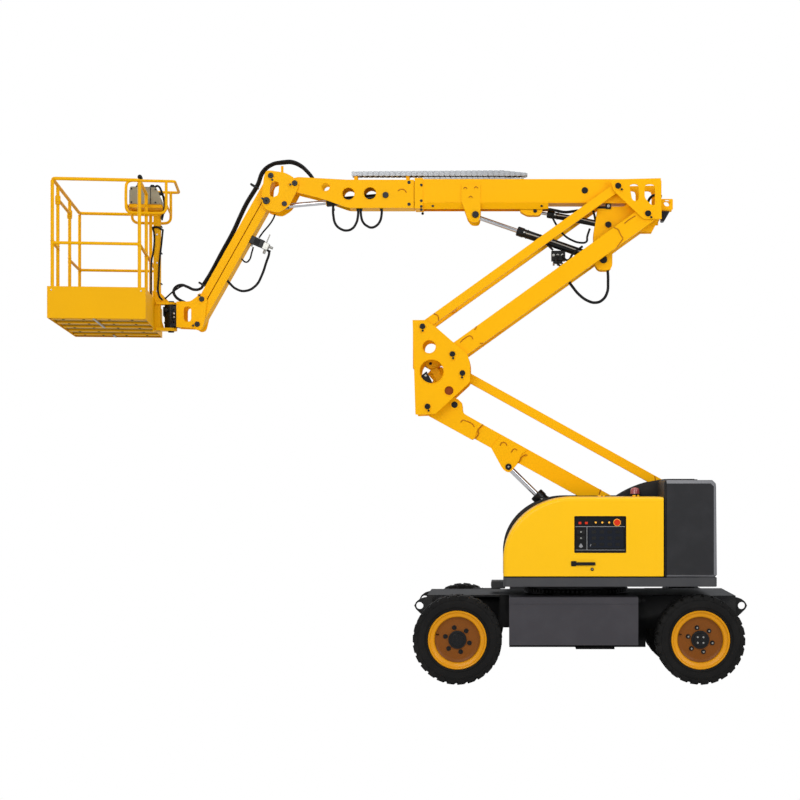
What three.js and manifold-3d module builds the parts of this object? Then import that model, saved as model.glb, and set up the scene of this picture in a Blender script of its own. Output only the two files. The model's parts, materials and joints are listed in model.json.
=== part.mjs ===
// Self-propelled articulating boom lift: a four-wheel chassis, a slewing turntable, a
// two-stage riser with levelling uprights, a telescopic main boom, a parallelogram jib and
// a railed work platform. Millimetres, +Z up, +X towards the counterweight, +Y to the
// machine's right. The riser, boom and jib all work in the plane y = 0.
import * as THREE from "three";
import { mergeVertices } from "three/addons/utils/BufferGeometryUtils.js";
import Module from "manifold-3d";

const wasm = await Module();
wasm.setup();

// ---------------------------------------------------------------- driving dimensions
const SEAT = 0.3; // gap between two pieces that rest on each other
const RUN = 6; // free gap beside a moving piece
const PIN_PLAY = 1; // radial play of a pin in its bore

const wheel = {
  base: 1950,
  outerFace: 875,
  width: 240,
  radius: 357.5,
  beadRadius: 236,
  dishRadius: 178,
  hubRadius: 72,
  spindleRadius: 38,
};
const kingpin = { y: 680, armX: 170, armY: 95 };
const frame = {
  halfLength: 560,
  halfWidth: 500,
  noseHalfWidth: 400,
  noseEnd: -1240,
  tailEnd: 1300,
  belly: 268,
  nose: 420,
  top: 690,
  wall: 12,
};
const lug = { reach: 60, z: 602, radius: 60, hole: 30, y: 388, thickness: 25 };
const sideBox = { x0: -560, x1: 478, z0: 312, z1: 697, outerFace: 825, wall: 4 };
const slew = { outer: 430, inner: 330, lowerTop: 733, upperRadius: 400 };
const deck = { x0: -608, x1: 1115, halfWidth: 800, z0: 781, z1: 855, wall: 12, corner: 45 };
const ballast = { x0: 688, top: 1640, notch: 150, notchEnd: 1012, bevel: 28 };
const cowl = { hinge: 185, top: 1503, noseX: 565, noseZ: 500, skin: 6, rimX: 520, rimZ: 455, rim: 6 };
const innerWall = { y: 160, thickness: 8 };
const tower = { inner: 90, thickness: 25, x0: 200, x1: 1000, arcRadius: 850, arcX: 820, arcZ: 800 };
const controls = { x0: -36, x1: 382, z0: 1053, z1: 1350, depth: 150 };

// Riser: both stages are parallelograms, and both arms have the same length.
const armLength = 2021;
const lowerAngle = 29;
const upperAngle = 35.7;
const lowerPivot = [521, 1277];
const lowerOffset = [293, 280];
const midToRiser = [209, 440];
const upperOffset = [-251, 232];
const lowerBoom = { depth: 140, halfWidth: 72, wall: 8, overlay: 10, lift: 26 };
const lowerLink = { depth: 75, halfWidth: 45, wall: 6 };
const riser = { depth: 150, y0: 110, y1: 168, wall: 8 };
const upperLink = { depth: 75, y0: 118, y1: 162, wall: 6 };
const uprightPlate = { y0: 175, y1: 190 };
const pinRadius = 24;
const bigPinRadius = 30;

// Main boom, fly boom and jib, measured from the main boom pivot.
const boom = { front: -1713, back: 73, below: 129, above: 73, halfWidth: 100, wall: 8, collar: 70 };
const skirt = { x0: -1643, x1: -583, foot: 60, drop: 46, thickness: 6 };
const fly = { halfWidth: 84, play: 8, back: -253, wall: 6, plate: 12, gap: 6 };
const elbow = [-2722, 34];
const slavePinOffset = [-87, -173];
const slaveBaseOffset = [764, -96];
const jibBoomTop = [-239, -148];
const jibVector = [-586, -1039];
const jibOffset = [37, 212];
const jib = { depth: 64, halfWidth: 80, wall: 5 };
const bracketPlate = { y0: 103, y1: 118 };
const headPlate = { y0: 86, y1: 98 };
const rotatorFromPin = -241;
const hoseRadius = { bundle: 20, line: 9, thin: 7 };

// Platform, in its own frame about the rotator axis.
const platformYaw = 7.4;
const platform = {
  x0: -902,
  x1: -145,
  halfWidth: 930,
  bottom: 2931,
  floorTop: 2956,
  toeTop: 3172,
  midRail: 3520,
  topRail: 4028,
  tube: 14,
  inset: 36,
  sheet: 6,
  gateY0: -580,
  gateY1: 195,
  pinHeight: 2955,
};
const mast = { size: 60, top: 3898 };
const swingArm = 3127; // underside of the platform's upper arm
const guard = { y: 290, x0: -350, x1: -22, z0: 3862, z1: 4130, tube: 13, reach: 48, tray: 3955 };

// ---------------------------------------------------------------- materials
const finish = (color, roughness, metalness) =>
  new THREE.MeshStandardMaterial({ color, roughness, metalness });
const paint = {
  yellow: finish(0xf7b500, 0.4, 0),
  cowl: finish(0xffc600, 0.3, 0),
  platform: finish(0xecae00, 0.45, 0),
  black: finish(0x1b1b1d, 0.5, 0),
  boxGrey: finish(0x454347, 0.55, 0),
  deckGrey: finish(0x4a4a4c, 0.55, 0),
  ballast: finish(0x303032, 0.6, 0),
  rim: finish(0xe8a31a, 0.45, 0.1),
  tyre: finish(0x141414, 0.9, 0),
  cylinder: finish(0x161617, 0.35, 0.2),
  chrome: finish(0xd8d8da, 0.15, 1),
  hose: finish(0x111112, 0.6, 0),
  track: finish(0xd9dadb, 0.35, 0.6),
  controlBox: finish(0xa39f8f, 0.5, 0),
  battery: finish(0x26282c, 0.7, 0),
};

// ---------------------------------------------------------------- shape helpers
// Closed three.js geometry as a solid, ready to be joined or cut.
function solid(geometry) {
  const bare = new THREE.BufferGeometry().setAttribute("position", geometry.getAttribute("position"));
  if (geometry.index) bare.setIndex(geometry.index);
  const merged = mergeVertices(bare, 1e-3);
  return new wasm.Manifold(
    new wasm.Mesh({
      numProp: 3,
      vertProperties: new Float32Array(merged.attributes.position.array),
      triVerts: new Uint32Array(merged.index.array),
    }),
  );
}

const join = (...solids) => solids.reduce((whole, piece) => whole.add(piece));
const cut = (whole, ...tools) => tools.reduce((left, tool) => left.subtract(tool), whole);

function box(x0, x1, y0, y1, z0, z1) {
  const block = new THREE.BoxGeometry(x1 - x0, y1 - y0, z1 - z0);
  return solid(block.translate((x0 + x1) / 2, (y0 + y1) / 2, (z0 + z1) / 2));
}

// The same box on both sides of the plane y = 0.
const boxPair = (x0, x1, y0, y1, z0, z1) =>
  join(box(x0, x1, y0, y1, z0, z1), box(x0, x1, -y1, -y0, z0, z1));

function discY(x, z, radius, y0, y1, sides = 14) {
  const disc = new THREE.CylinderGeometry(radius, radius, y1 - y0, sides);
  return solid(disc.translate(x, (y0 + y1) / 2, z));
}

function discZ(x, y, radius, z0, z1, sides = 24) {
  const disc = new THREE.CylinderGeometry(radius, radius, z1 - z0, sides).rotateX(Math.PI / 2);
  return solid(disc.translate(x, y, (z0 + z1) / 2));
}

// Round bar between two points in space.
function bar(from, to, radius, sides = 12) {
  const a = new THREE.Vector3(...from);
  const b = new THREE.Vector3(...to);
  const shaft = new THREE.CylinderGeometry(radius, radius, a.distanceTo(b), sides);
  const turn = new THREE.Quaternion().setFromUnitVectors(
    new THREE.Vector3(0, 1, 0),
    b.clone().sub(a).normalize(),
  );
  const middle = a.clone().add(b).multiplyScalar(0.5);
  return solid(shaft.applyQuaternion(turn).translate(middle.x, middle.y, middle.z));
}

// Outline through [a, b, cornerRadius] points; a radius rounds that corner.
function outline(points) {
  const shape = new THREE.Shape();
  points.forEach(([a, b, radius = 0], i) => {
    const [pa, pb] = points[(i + points.length - 1) % points.length];
    const [na, nb] = points[(i + 1) % points.length];
    const back = new THREE.Vector2(pa - a, pb - b);
    const ahead = new THREE.Vector2(na - a, nb - b);
    const reach = Math.min(radius, back.length() / 2.05, ahead.length() / 2.05);
    const start = back.setLength(reach);
    const end = ahead.setLength(reach);
    const go = i === 0 ? "moveTo" : "lineTo";
    shape[go](a + start.x, b + start.y);
    if (reach > 0) shape.quadraticCurveTo(a, b, a + end.x, b + end.y);
  });
  shape.closePath();
  return shape;
}

// A flat shape drawn in x and z, from y0 to y1.
function plate(shape, y0, y1, curveSegments = 2) {
  const sheet = new THREE.ExtrudeGeometry(shape, {
    depth: y1 - y0,
    bevelEnabled: false,
    curveSegments,
  });
  return solid(sheet.rotateX(Math.PI / 2).translate(0, y1, 0));
}

const platePair = (shape, y0, y1, curveSegments) =>
  join(plate(shape, y0, y1, curveSegments), plate(shape, -y1, -y0, curveSegments));

// A flat shape drawn in y and z, from x0 to x1.
function prismX(points, x0, x1) {
  const block = new THREE.ExtrudeGeometry(outline(points), { depth: x1 - x0, bevelEnabled: false });
  const turn = new THREE.Matrix4().makeBasis(
    new THREE.Vector3(0, 1, 0),
    new THREE.Vector3(0, 0, 1),
    new THREE.Vector3(1, 0, 0),
  );
  return solid(block.applyMatrix4(turn).translate(x0, 0, 0));
}

// A flat shape drawn in x and y, from z0 to z1.
function prismZ(shape, z0, z1) {
  const block = new THREE.ExtrudeGeometry(shape, { depth: z1 - z0, bevelEnabled: false });
  return solid(block.translate(0, 0, z0));
}

const circle = (radius, sides) =>
  new THREE.Shape(
    Array.from({ length: sides }, (_, i) => {
      const turn = (2 * Math.PI * i) / sides;
      return new THREE.Vector2(radius * Math.cos(turn), radius * Math.sin(turn));
    }),
  );

// Round tube or hose along a smooth route, or along straight runs where tension is 0.
function hose(points, radius, steps, sides = 8, tension = 0.5) {
  const path = new THREE.CatmullRomCurve3(
    points.map((p) => new THREE.Vector3(...p)),
    false,
    "catmullrom",
    tension,
  );
  return solid(
    new THREE.ExtrudeGeometry(circle(radius, sides), { steps, extrudePath: path, bevelEnabled: false }),
  );
}

// Coordinates along an arm in the working plane: u runs from p to q, v points upwards.
function arm(p, q) {
  const length = Math.hypot(q[0] - p[0], q[1] - p[1]);
  const ux = (q[0] - p[0]) / length;
  const uz = (q[1] - p[1]) / length;
  const up = ux >= 0 ? 1 : -1;
  return {
    length,
    at: (u, v = 0) => [p[0] + u * ux - up * v * uz, p[1] + u * uz + up * v * ux],
  };
}

const along = (line, points) => outline(points.map(([u, v, radius]) => [...line.at(u, v), radius]));

// Straight beam between two pins with rounded ends, bored for both pins; lift raises its
// middle above the line through them.
function beam(line, depth, y0, y1, bores, lift = 0) {
  const h = depth / 2;
  const ends = along(line, [
    [-h, lift - h, h * 0.9],
    [line.length + h, lift - h, h * 0.9],
    [line.length + h, lift + h, h * 0.9],
    [-h, lift + h, h * 0.9],
  ]);
  const [bore0, bore1] = bores;
  return cut(plate(ends, y0, y1, 4), bore(line.at(0), bore0), bore(line.at(line.length), bore1));
}

const bore = ([x, z], radius) => discY(x, z, radius + PIN_PLAY, -300, 300);
const pin = ([x, z], radius, half) => discY(x, z, radius, -half, half);

// Inside of a box beam between u0 and u1, with a drain hole through its lower wall.
function cavity(line, u0, u1, depth, wall, y0, y1, lift = 0) {
  const h = depth / 2 - wall;
  const inside = along(line, [
    [u0, lift - h],
    [u1, lift - h],
    [u1, lift + h],
    [u0, lift + h],
  ]);
  const [mid, hole] = [(y0 + y1) / 2, 10];
  const drain = along(line, [
    [u0 + 40, -depth],
    [u0 + 60, -depth],
    [u0 + 60, 0],
    [u0 + 40, 0],
  ]);
  return join(plate(inside, y0 + wall, y1 - wall), plate(drain, mid - hole, mid + hole));
}

const root = new THREE.Group();
const machine = new THREE.Group();
root.add(machine);

function addNode(name, shape, material, parent = machine) {
  const { numProp, vertProperties, triVerts } = shape.getMesh();
  const count = vertProperties.length / numProp;
  const positions = new Float32Array(count * 3);
  for (let i = 0; i < count; i += 1) {
    positions.set(vertProperties.subarray(i * numProp, i * numProp + 3), i * 3);
  }
  const geometry = new THREE.BufferGeometry();
  geometry.setAttribute("position", new THREE.BufferAttribute(positions, 3));
  geometry.setIndex(new THREE.BufferAttribute(new Uint32Array(triVerts), 1));
  geometry.computeVertexNormals();
  const mesh = new THREE.Mesh(geometry, material);
  mesh.name = name;
  parent.add(mesh);
}

// ---------------------------------------------------------------- pins of the linkage
const shift = ([x, z], [dx, dz], scale = 1) => [x + dx * scale, z + dz * scale];
const polar = (angle) => [Math.cos((angle * Math.PI) / 180), Math.sin((angle * Math.PI) / 180)];
const [lowerCos, lowerSin] = polar(lowerAngle);

const P1 = lowerPivot;
const P2 = shift(P1, lowerOffset);
const D = shift(P1, [-lowerCos, lowerSin], armLength);
const C = shift(D, lowerOffset);
const B = shift(D, midToRiser);
const A = shift(B, upperOffset);
const riserTop = shift(B, polar(upperAngle), armLength);
const boomPivot = shift(riserTop, upperOffset);
const timingLow = shift(D, [223, 19]);
const timingHigh = shift(B, [-191, -70]);

const riserCylinderBase = [272, 928];
const riserCylinderEye = shift(D, [679, -506]);
const mainCylinderBase = shift(boomPivot, [-117, -603]);
const mainCylinderEye = shift(boomPivot, [-1199, -229]);
const masterBase = shift(boomPivot, [-76, -307]);
const masterEye = shift(boomPivot, [-695, -188]);
const elbowPin = shift(boomPivot, elbow);
const slaveEye = shift(elbowPin, slavePinOffset);
const slaveBase = shift(elbowPin, slaveBaseOffset);
const jibTopPin = shift(elbowPin, jibBoomTop);
const jibBottomPin = shift(jibTopPin, jibVector);
const linkTopPin = shift(jibTopPin, jibOffset);
const linkBottomPin = shift(jibBottomPin, jibOffset);
const rotatorX = jibBottomPin[0] + rotatorFromPin;
// The platform's heights are those over ground with the jib's lower pin at pinHeight.
const cageRise = Math.round(jibBottomPin[1] - platform.pinHeight);

// ---------------------------------------------------------------- chassis
const axleZ = wheel.radius;
const frontX = -wheel.base / 2;
const rearX = wheel.base / 2;
const innerFace = wheel.outerFace - wheel.width;

function lugPlate(endX, side) {
  const x = endX + side * lug.reach;
  const body = outline([
    [endX - side * 80, frame.top],
    [x, lug.z + lug.radius, 30],
    [x + side * lug.radius, lug.z, 40],
    [x, lug.z - lug.radius, 30],
    [endX - side * 20, lug.z - 2.2 * lug.radius],
    [endX - side * 80, lug.z - 2.2 * lug.radius],
  ]);
  return cut(
    platePair(body, lug.y, lug.y + lug.thickness),
    discY(x, lug.z, lug.hole, -600, 600),
  );
}

function chassisFrame() {
  const { halfLength: hl, halfWidth: hw, noseHalfWidth: nw, wall: w, top, belly, nose } = frame;
  const shell = join(
    box(-hl, hl, -hw, hw, belly, top),
    box(frame.noseEnd, -hl + 1, -nw, nw, nose, top),
    box(hl - 1, frame.tailEnd, -hw, hw, nose, top),
  );
  const hollow = join(
    box(-hl + w, hl - w, -hw + w, hw - w, belly + w, top - w),
    box(frame.noseEnd + w, -hl + 2 * w, -nw + w, nw - w, nose + w, top - w),
    box(hl - 2 * w, frame.tailEnd - w, -hw + w, hw - w, nose + w, top - w),
    box(-hl + 60, -hl + 260, -150, 150, belly - 1, belly + 2 * w),
  );
  const bellyBox = box(0, 325, -150, 150, belly - 52, belly + 1);
  const ring = cut(
    discZ(0, 0, slew.outer, top - 1, slew.lowerTop, 32),
    discZ(0, 0, slew.inner, top, slew.lowerTop + 1, 32),
  );
  return join(
    cut(shell, hollow),
    bellyBox,
    ring,
    lugPlate(frame.noseEnd, -1),
    lugPlate(frame.tailEnd, 1),
  );
}

function sideBoxShape(side) {
  const { x0, x1, z0, z1, outerFace, wall } = sideBox;
  const inner = frame.halfWidth + SEAT;
  const shell = cut(
    box(x0, x1, inner, outerFace, z0, z1),
    box(x0 + wall, x1 - wall, inner - 1, outerFace - wall, z0 + wall, z1 - wall),
  );
  return side > 0 ? shell : shell.mirror([0, 1, 0]);
}

// Yoke ends hold the kingpins; the beam hangs under the nose of the frame.
function frontAxle() {
  const beamTop = frame.nose - SEAT;
  const yokeInner = kingpin.y - 90;
  const yoke = join(
    box(frontX - 30, frontX + 30, yokeInner, yokeInner + 25, axleZ - 115, axleZ + 115),
    box(frontX - 30, frontX + 30, yokeInner, kingpin.y + 30, axleZ + 95, axleZ + 115),
    box(frontX - 30, frontX + 30, yokeInner, kingpin.y + 30, axleZ - 115, axleZ - 95),
    discZ(frontX, kingpin.y, 18, axleZ - 96, axleZ + 96, 16),
  );
  return join(
    box(frontX - 40, frontX + 40, -yokeInner, yokeInner + 1, axleZ - 55, beamTop),
    yoke,
    yoke.mirror([0, 1, 0]),
  );
}

function rearAxle() {
  const motor = join(
    discY(rearX, axleZ, 100, 560, 700, 24),
    discY(rearX, axleZ, wheel.spindleRadius, 699, wheel.outerFace - 75, 20),
  );
  return join(
    box(rearX - 70, rearX + 70, -570, 570, axleZ - 65, frame.nose - SEAT),
    motor,
    motor.mirror([0, 1, 0]),
  );
}

function knuckle() {
  const y = kingpin.y;
  const armTip = [frontX + kingpin.armX, y - kingpin.armY];
  const carrier = join(
    box(frontX - 42, frontX + 42, y - 35, y + 45, axleZ - 89, axleZ + 89),
    discY(frontX, axleZ, wheel.spindleRadius, y + 44, wheel.outerFace - 75, 20),
  );
  const steeringArm = join(
    bar([frontX + 30, y, axleZ], [...armTip, axleZ], 13, 12),
    discZ(...armTip, 20, axleZ - 14, axleZ + 14, 16),
  );
  return cut(
    join(carrier, steeringArm),
    discZ(frontX, y, 18 + PIN_PLAY, axleZ - 120, axleZ + 120, 16),
  );
}

function tieRod() {
  const x = frontX + kingpin.armX;
  const y = kingpin.y - kingpin.armY;
  const z = axleZ - 28 - SEAT;
  return join(
    bar([x, -y, z], [x, y, z], 12, 12),
    discZ(x, -y, 16, z - 14, z + 14, 16),
    discZ(x, y, 16, z - 14, z + 14, 16),
  );
}

const latheY = (profile, sides) =>
  solid(
    new THREE.LatheGeometry(
      profile.map(([r, y]) => new THREE.Vector2(r, y)),
      sides,
    ),
  );

function tyreShape() {
  const { radius: r, beadRadius: bead, width } = wheel;
  const h = width / 2;
  return latheY(
    [
      [bead + SEAT, -h + 18],
      [bead + 40, -h],
      [r - 60, -h + 2],
      [r - 14, -h + 14],
      [r, -h + 34],
      [r, h - 34],
      [r - 14, h - 14],
      [r - 60, h - 2],
      [bead + 40, h],
      [bead + SEAT, h - 18],
      [bead + SEAT, -h + 18],
    ],
    22,
  );
}

// Outer lip, well and disc, closed by the hub cap on the wheel's own axis.
function rimShape() {
  const { beadRadius: bead, dishRadius: dish, hubRadius: hub, width } = wheel;
  const h = width / 2;
  const boreRadius = wheel.spindleRadius + PIN_PLAY;
  const disc = h - 62;
  return latheY(
    [
      [0, h - 60],
      [boreRadius, h - 60],
      [boreRadius, disc - 40],
      [hub, disc - 40],
      [hub, disc - 14],
      [bead - 30, disc - 14],
      [bead - 30, -h + 14],
      [bead, -h + 14],
      [bead, h - 14],
      [bead - 14, h - 14],
      [dish + 4, h - 24],
      [dish - 10, disc],
      [hub, disc],
      [hub, h - 30],
      [hub - 12, h - 22],
      [0, h - 22],
    ],
    22,
  );
}

addNode("chassis_frame", chassisFrame(), paint.black);
addNode("side_box_left", sideBoxShape(-1), paint.boxGrey);
addNode("side_box_right", sideBoxShape(1), paint.boxGrey);
addNode("front_axle", frontAxle(), paint.black);
addNode("rear_axle", rearAxle(), paint.black);
addNode("steering_knuckle_left", knuckle().mirror([0, 1, 0]), paint.black);
addNode("steering_knuckle_right", knuckle(), paint.black);
addNode("tie_rod", tieRod(), paint.black);

const wheelCentreY = wheel.outerFace - wheel.width / 2;
for (const [end, x] of [["front", frontX], ["rear", rearX]]) {
  for (const [name, side] of [["left", -1], ["right", 1]]) {
    const place = (shape) =>
      (side > 0 ? shape : shape.mirror([0, 1, 0])).translate([x, side * wheelCentreY, axleZ]);
    addNode(`tyre_${end}_${name}`, place(tyreShape()), paint.tyre);
    addNode(`rim_${end}_${name}`, place(rimShape()), paint.rim);
  }
}

// ---------------------------------------------------------------- turntable
function turntableDeck() {
  const { x0, x1, halfWidth: hw, z0, z1, wall, corner } = deck;
  const plan = outline([
    [x0, -hw, corner],
    [x1, -hw, corner],
    [x1, hw, corner],
    [x0, hw, corner],
  ]);
  const pan = cut(
    prismZ(plan, z0, z1),
    box(x0 + wall, x1 - wall, -hw + wall, hw - wall, z0 - 1, z1 - wall),
  );
  const race = discZ(0, 0, slew.upperRadius, slew.lowerTop + SEAT, z1 - wall + 1, 32);
  const lock = box(x0 - 105, x0 + wall, -110, 110, z0 - 57, z0 + 6);
  return join(pan, race, lock);
}

function counterweight() {
  const { x0, top, notch, notchEnd, bevel: b } = ballast;
  const front = x0 + SEAT;
  const bottom = deck.z1 + SEAT;
  const side = outline([
    [front, bottom],
    [deck.x1, bottom],
    [deck.x1 - 8, top - b],
    [deck.x1 - 8 - b, top],
    [front, top],
  ]);
  const hw = deck.halfWidth;
  const plan = outline([
    [front, -hw],
    [deck.x1 - b, -hw],
    [deck.x1, -hw + b],
    [deck.x1, hw - b],
    [deck.x1 - b, hw],
    [front, hw],
  ]);
  const back = [
    [-hw, bottom],
    [hw, bottom],
    [hw, top - b],
    [hw - b, top],
    [-hw + b, top],
    [-hw, top - b],
  ];
  return cut(
    plate(side, -hw, hw).intersect(prismZ(plan, bottom, top)).intersect(prismX(back, front, deck.x1)),
    box(front - 1, notchEnd, -notch, notch, bottom - 1, top + 1),
    boxPair(front - 1, deck.x1 - 170, notch + 60, hw - 60, bottom + 60, top - 200),
  );
}

// Profile of the cowl seen from the side; grow moves it outwards all round.
function cowlProfile(radiusX, radiusZ, grow, rear, foot) {
  const front = deck.x0 - grow;
  const top = cowl.top + grow;
  const shape = new THREE.Shape();
  shape.moveTo(front, foot);
  shape.lineTo(front, top - radiusZ);
  shape.absellipse(front + radiusX, top - radiusZ, radiusX, radiusZ, Math.PI, Math.PI / 2, true);
  shape.lineTo(rear, top);
  shape.lineTo(rear, foot);
  shape.closePath();
  return shape;
}

function boomTower() {
  const t = tower;
  const bottom = deck.z1 + SEAT;
  const start = Math.acos((345 - t.arcX) / t.arcRadius);
  const cheek = new THREE.Shape();
  cheek.moveTo(t.x0, bottom);
  cheek.lineTo(t.x0, 1250);
  cheek.lineTo(345, t.arcZ + t.arcRadius * Math.sin(start));
  cheek.absarc(t.arcX, t.arcZ, t.arcRadius, start, Math.PI / 2, true);
  cheek.lineTo(t.x1, t.arcZ + t.arcRadius);
  cheek.lineTo(t.x1, bottom);
  cheek.closePath();
  const outer = t.inner + t.thickness;
  const base = bottom + 13;
  const wallProfile = cowlProfile(cowl.rimX, cowl.rimZ, cowl.rim, ballast.x0 - RUN, bottom);
  return join(
    platePair(cheek, t.inner, outer, 8),
    box(t.x1 - 15, t.x1, -outer, outer, bottom, t.arcZ + t.arcRadius),
    box(t.x0, t.x1, -outer, outer, bottom, base),
    box(t.x0, ballast.x0 - RUN, -innerWall.y - 1, innerWall.y + 1, bottom, base),
    boxPair(-150, 650, innerWall.y + 2, cowl.hinge - SEAT, cowl.top - 18, cowl.top),
    platePair(wallProfile, innerWall.y, innerWall.y + innerWall.thickness, 12),
    pin(P1, bigPinRadius, outer + 8),
    pin(P2, bigPinRadius, outer + 8),
    pin(riserCylinderBase, pinRadius, outer + 8),
  );
}

function cowlShape(side) {
  const foot = deck.z1 + 10;
  const rear = ballast.x0 - RUN + 1;
  const outer = plate(
    cowlProfile(cowl.noseX, cowl.noseZ, 0, rear, foot),
    cowl.hinge,
    deck.halfWidth,
    12,
  );
  const inner = plate(
    cowlProfile(cowl.noseX, cowl.noseZ, -cowl.skin, rear + 50, foot - 50),
    cowl.hinge - 10,
    deck.halfWidth - cowl.skin,
    12,
  );
  const shell = cut(outer, inner);
  if (side > 0) return shell;
  const window = box(
    controls.x0, controls.x1,
    -deck.halfWidth - 5, -deck.halfWidth + 20,
    controls.z0, controls.z1,
  );
  return cut(shell.mirror([0, 1, 0]), window);
}

function groundControls() {
  const face = -deck.halfWidth + cowl.skin + RUN;
  const { x0, x1, z0, z1, depth } = controls;
  return join(
    box(x0 - 20, x1 + 20, face, face + depth, z0 - 20, z1 + 20),
    box(x0 + 120, x0 + 200, face + 40, face + 120, deck.z1 + SEAT, z0),
  );
}

addNode("turntable_deck", turntableDeck(), paint.deckGrey);
addNode("boom_tower", boomTower(), paint.ballast);
addNode("counterweight", counterweight(), paint.ballast);
addNode("ground_controls", groundControls(), paint.black);
addNode("battery_pack", box(-100, 350, 410, 700, deck.z1 + SEAT, 1165), paint.battery);
addNode("cowl_left", cowlShape(-1), paint.cowl);
addNode("cowl_right", cowlShape(1), paint.cowl);

// ---------------------------------------------------------------- riser
function lowerBoomShape() {
  const line = arm(D, P1);
  const { depth, halfWidth: w, wall, overlay, lift } = lowerBoom;
  const [low, high] = [lift - depth / 2, lift + depth / 2];
  const tube = cut(
    beam(line, depth, -w, w, [pinRadius, bigPinRadius], lift),
    cavity(line, 70, line.length - 70, depth, wall, -w, w, lift),
  );
  const headPlates = along(line, [
    [-78, -64, 70],
    [455, -62],
    [470, low],
    [456, 26],
    [486, high],
    [275, high + 2, 30],
    [235, 180, 60],
    [135, 180, 60],
    [110, high, 30],
    [-78, 82, 70],
  ]);
  const eyePlates = along(line, [
    [655, high],
    [632, low],
    [812, -158, 30],
    [872, -158, 30],
    [895, low],
    [882, 40],
    [915, high],
  ]);
  const eye = line.at(839, -113);
  const pocket = along(line, [
    [640, low - 5],
    [1010, low - 5],
    [1010, high - wall],
    [640, high - wall],
  ]);
  const slot = along(line, [
    [130, high - 12],
    [245, high - 12],
    [245, high + 5],
    [130, high + 5],
  ]);
  return cut(
    join(
      tube,
      platePair(headPlates, w - 1, w + overlay),
      platePair(eyePlates, w - 1, w + overlay),
      platePair(along(line, [
        [760, low + 2], [812, -158, 30], [872, -158, 30], [892, low + 2],
      ]), w - 12, w),
    ),
    plate(pocket, -62, 62),
    plate(slot, -36, 36),
    bore(D, pinRadius),
    bore(timingLow, pinRadius),
    discY(...eye, 12, -30, 30),
  );
}

function lowerLinkShape() {
  const line = arm(C, P2);
  const { depth, halfWidth: w, wall } = lowerLink;
  return cut(
    beam(line, depth, -w, w, [pinRadius, bigPinRadius]),
    cavity(line, 60, line.length - 60, depth, wall, -w, w),
  );
}

// The far end's pin is left out, so that the eye can drift inside its ears.
function timingLinkShape() {
  const line = arm(timingLow, timingHigh);
  return join(
    beam(line, 60, -28, 28, [14, 14]),
    pin(timingLow, pinRadius, 88),
  );
}

function midUpright() {
  const [dx, dz] = D;
  const sheet = outline([
    [dx - 126, dz + 726], [dx - 21, dz + 726], [dx + 67, dz + 669], [dx + 196, dz + 557],
    [dx + 332, dz + 444, 25], [dx + 356, dz + 366, 30], [dx + 356, dz + 204, 25],
    [dx + 67, dz - 61, 10], [dx - 102, dz - 69, 8],
  ]);
  const holes = [
    discY(dx + 14, dz + 502, 55, -250, 250, 16),
    discY(dx + 35, dz + 295, 100, -250, 250, 20),
    discY(dx + 180, dz + 133, 38, -250, 250, 12),
  ];
  const { y0, y1 } = uprightPlate;
  return join(
    cut(platePair(sheet, y0, y1), ...holes),
    box(dx - 124, dx - 112, -y0 - 1, y0 + 1, dz + 320, dz + 720),
    pin(A, pinRadius, y1 + 8),
    pin(B, pinRadius, y1 + 8),
    pin(C, pinRadius, y1 + 8),
    pin(D, pinRadius, y1 + 8),
  );
}

function upperRiser() {
  const line = arm(B, riserTop);
  const { depth, y0, y1, wall } = riser;
  const half = cut(
    beam(line, depth, y0, y1, [pinRadius, bigPinRadius]),
    cavity(line, 85, line.length - 100, depth, wall, y0, y1),
  );
  const tailPlate = along(arm(B, timingHigh), [
    [-40, -45, 30],
    [arm(B, timingHigh).length + 42, -45, 40],
    [arm(B, timingHigh).length + 42, 45, 40],
    [-40, 45, 30],
  ]);
  const h = depth / 2;
  const cross = along(line, [[250, -h + 20], [480, -h + 20], [480, h - 20], [250, h - 20]]);
  const channel = along(line, [[258, -h], [472, -h], [472, h - 28], [258, h - 28]]);
  return cut(
    join(
      half,
      half.mirror([0, 1, 0]),
      discY(...B, 45, -y0 - 1, y0 + 1),
      cut(plate(cross, -y0 - 1, y0 + 1), plate(channel, -y0 + 8, y0 - 8)),
      platePair(tailPlate, 36, 52),
    ),
    bore(B, pinRadius),
    bore(timingHigh, 12),
  );
}

function upperLinkShape() {
  const line = arm(A, boomPivot);
  const { depth, y0, y1, wall } = upperLink;
  const half = cut(
    beam(line, depth, y0, y1, [pinRadius, bigPinRadius]),
    cavity(line, 60, line.length - 60, depth, wall, y0, y1),
  );
  return cut(
    join(
      half,
      half.mirror([0, 1, 0]),
      discY(...A, 36, -y0 - 1, y0 + 1),
      discY(...line.at(300), 30, -y0 - 1, y0 + 1),
    ),
    bore(A, pinRadius),
  );
}

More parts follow.
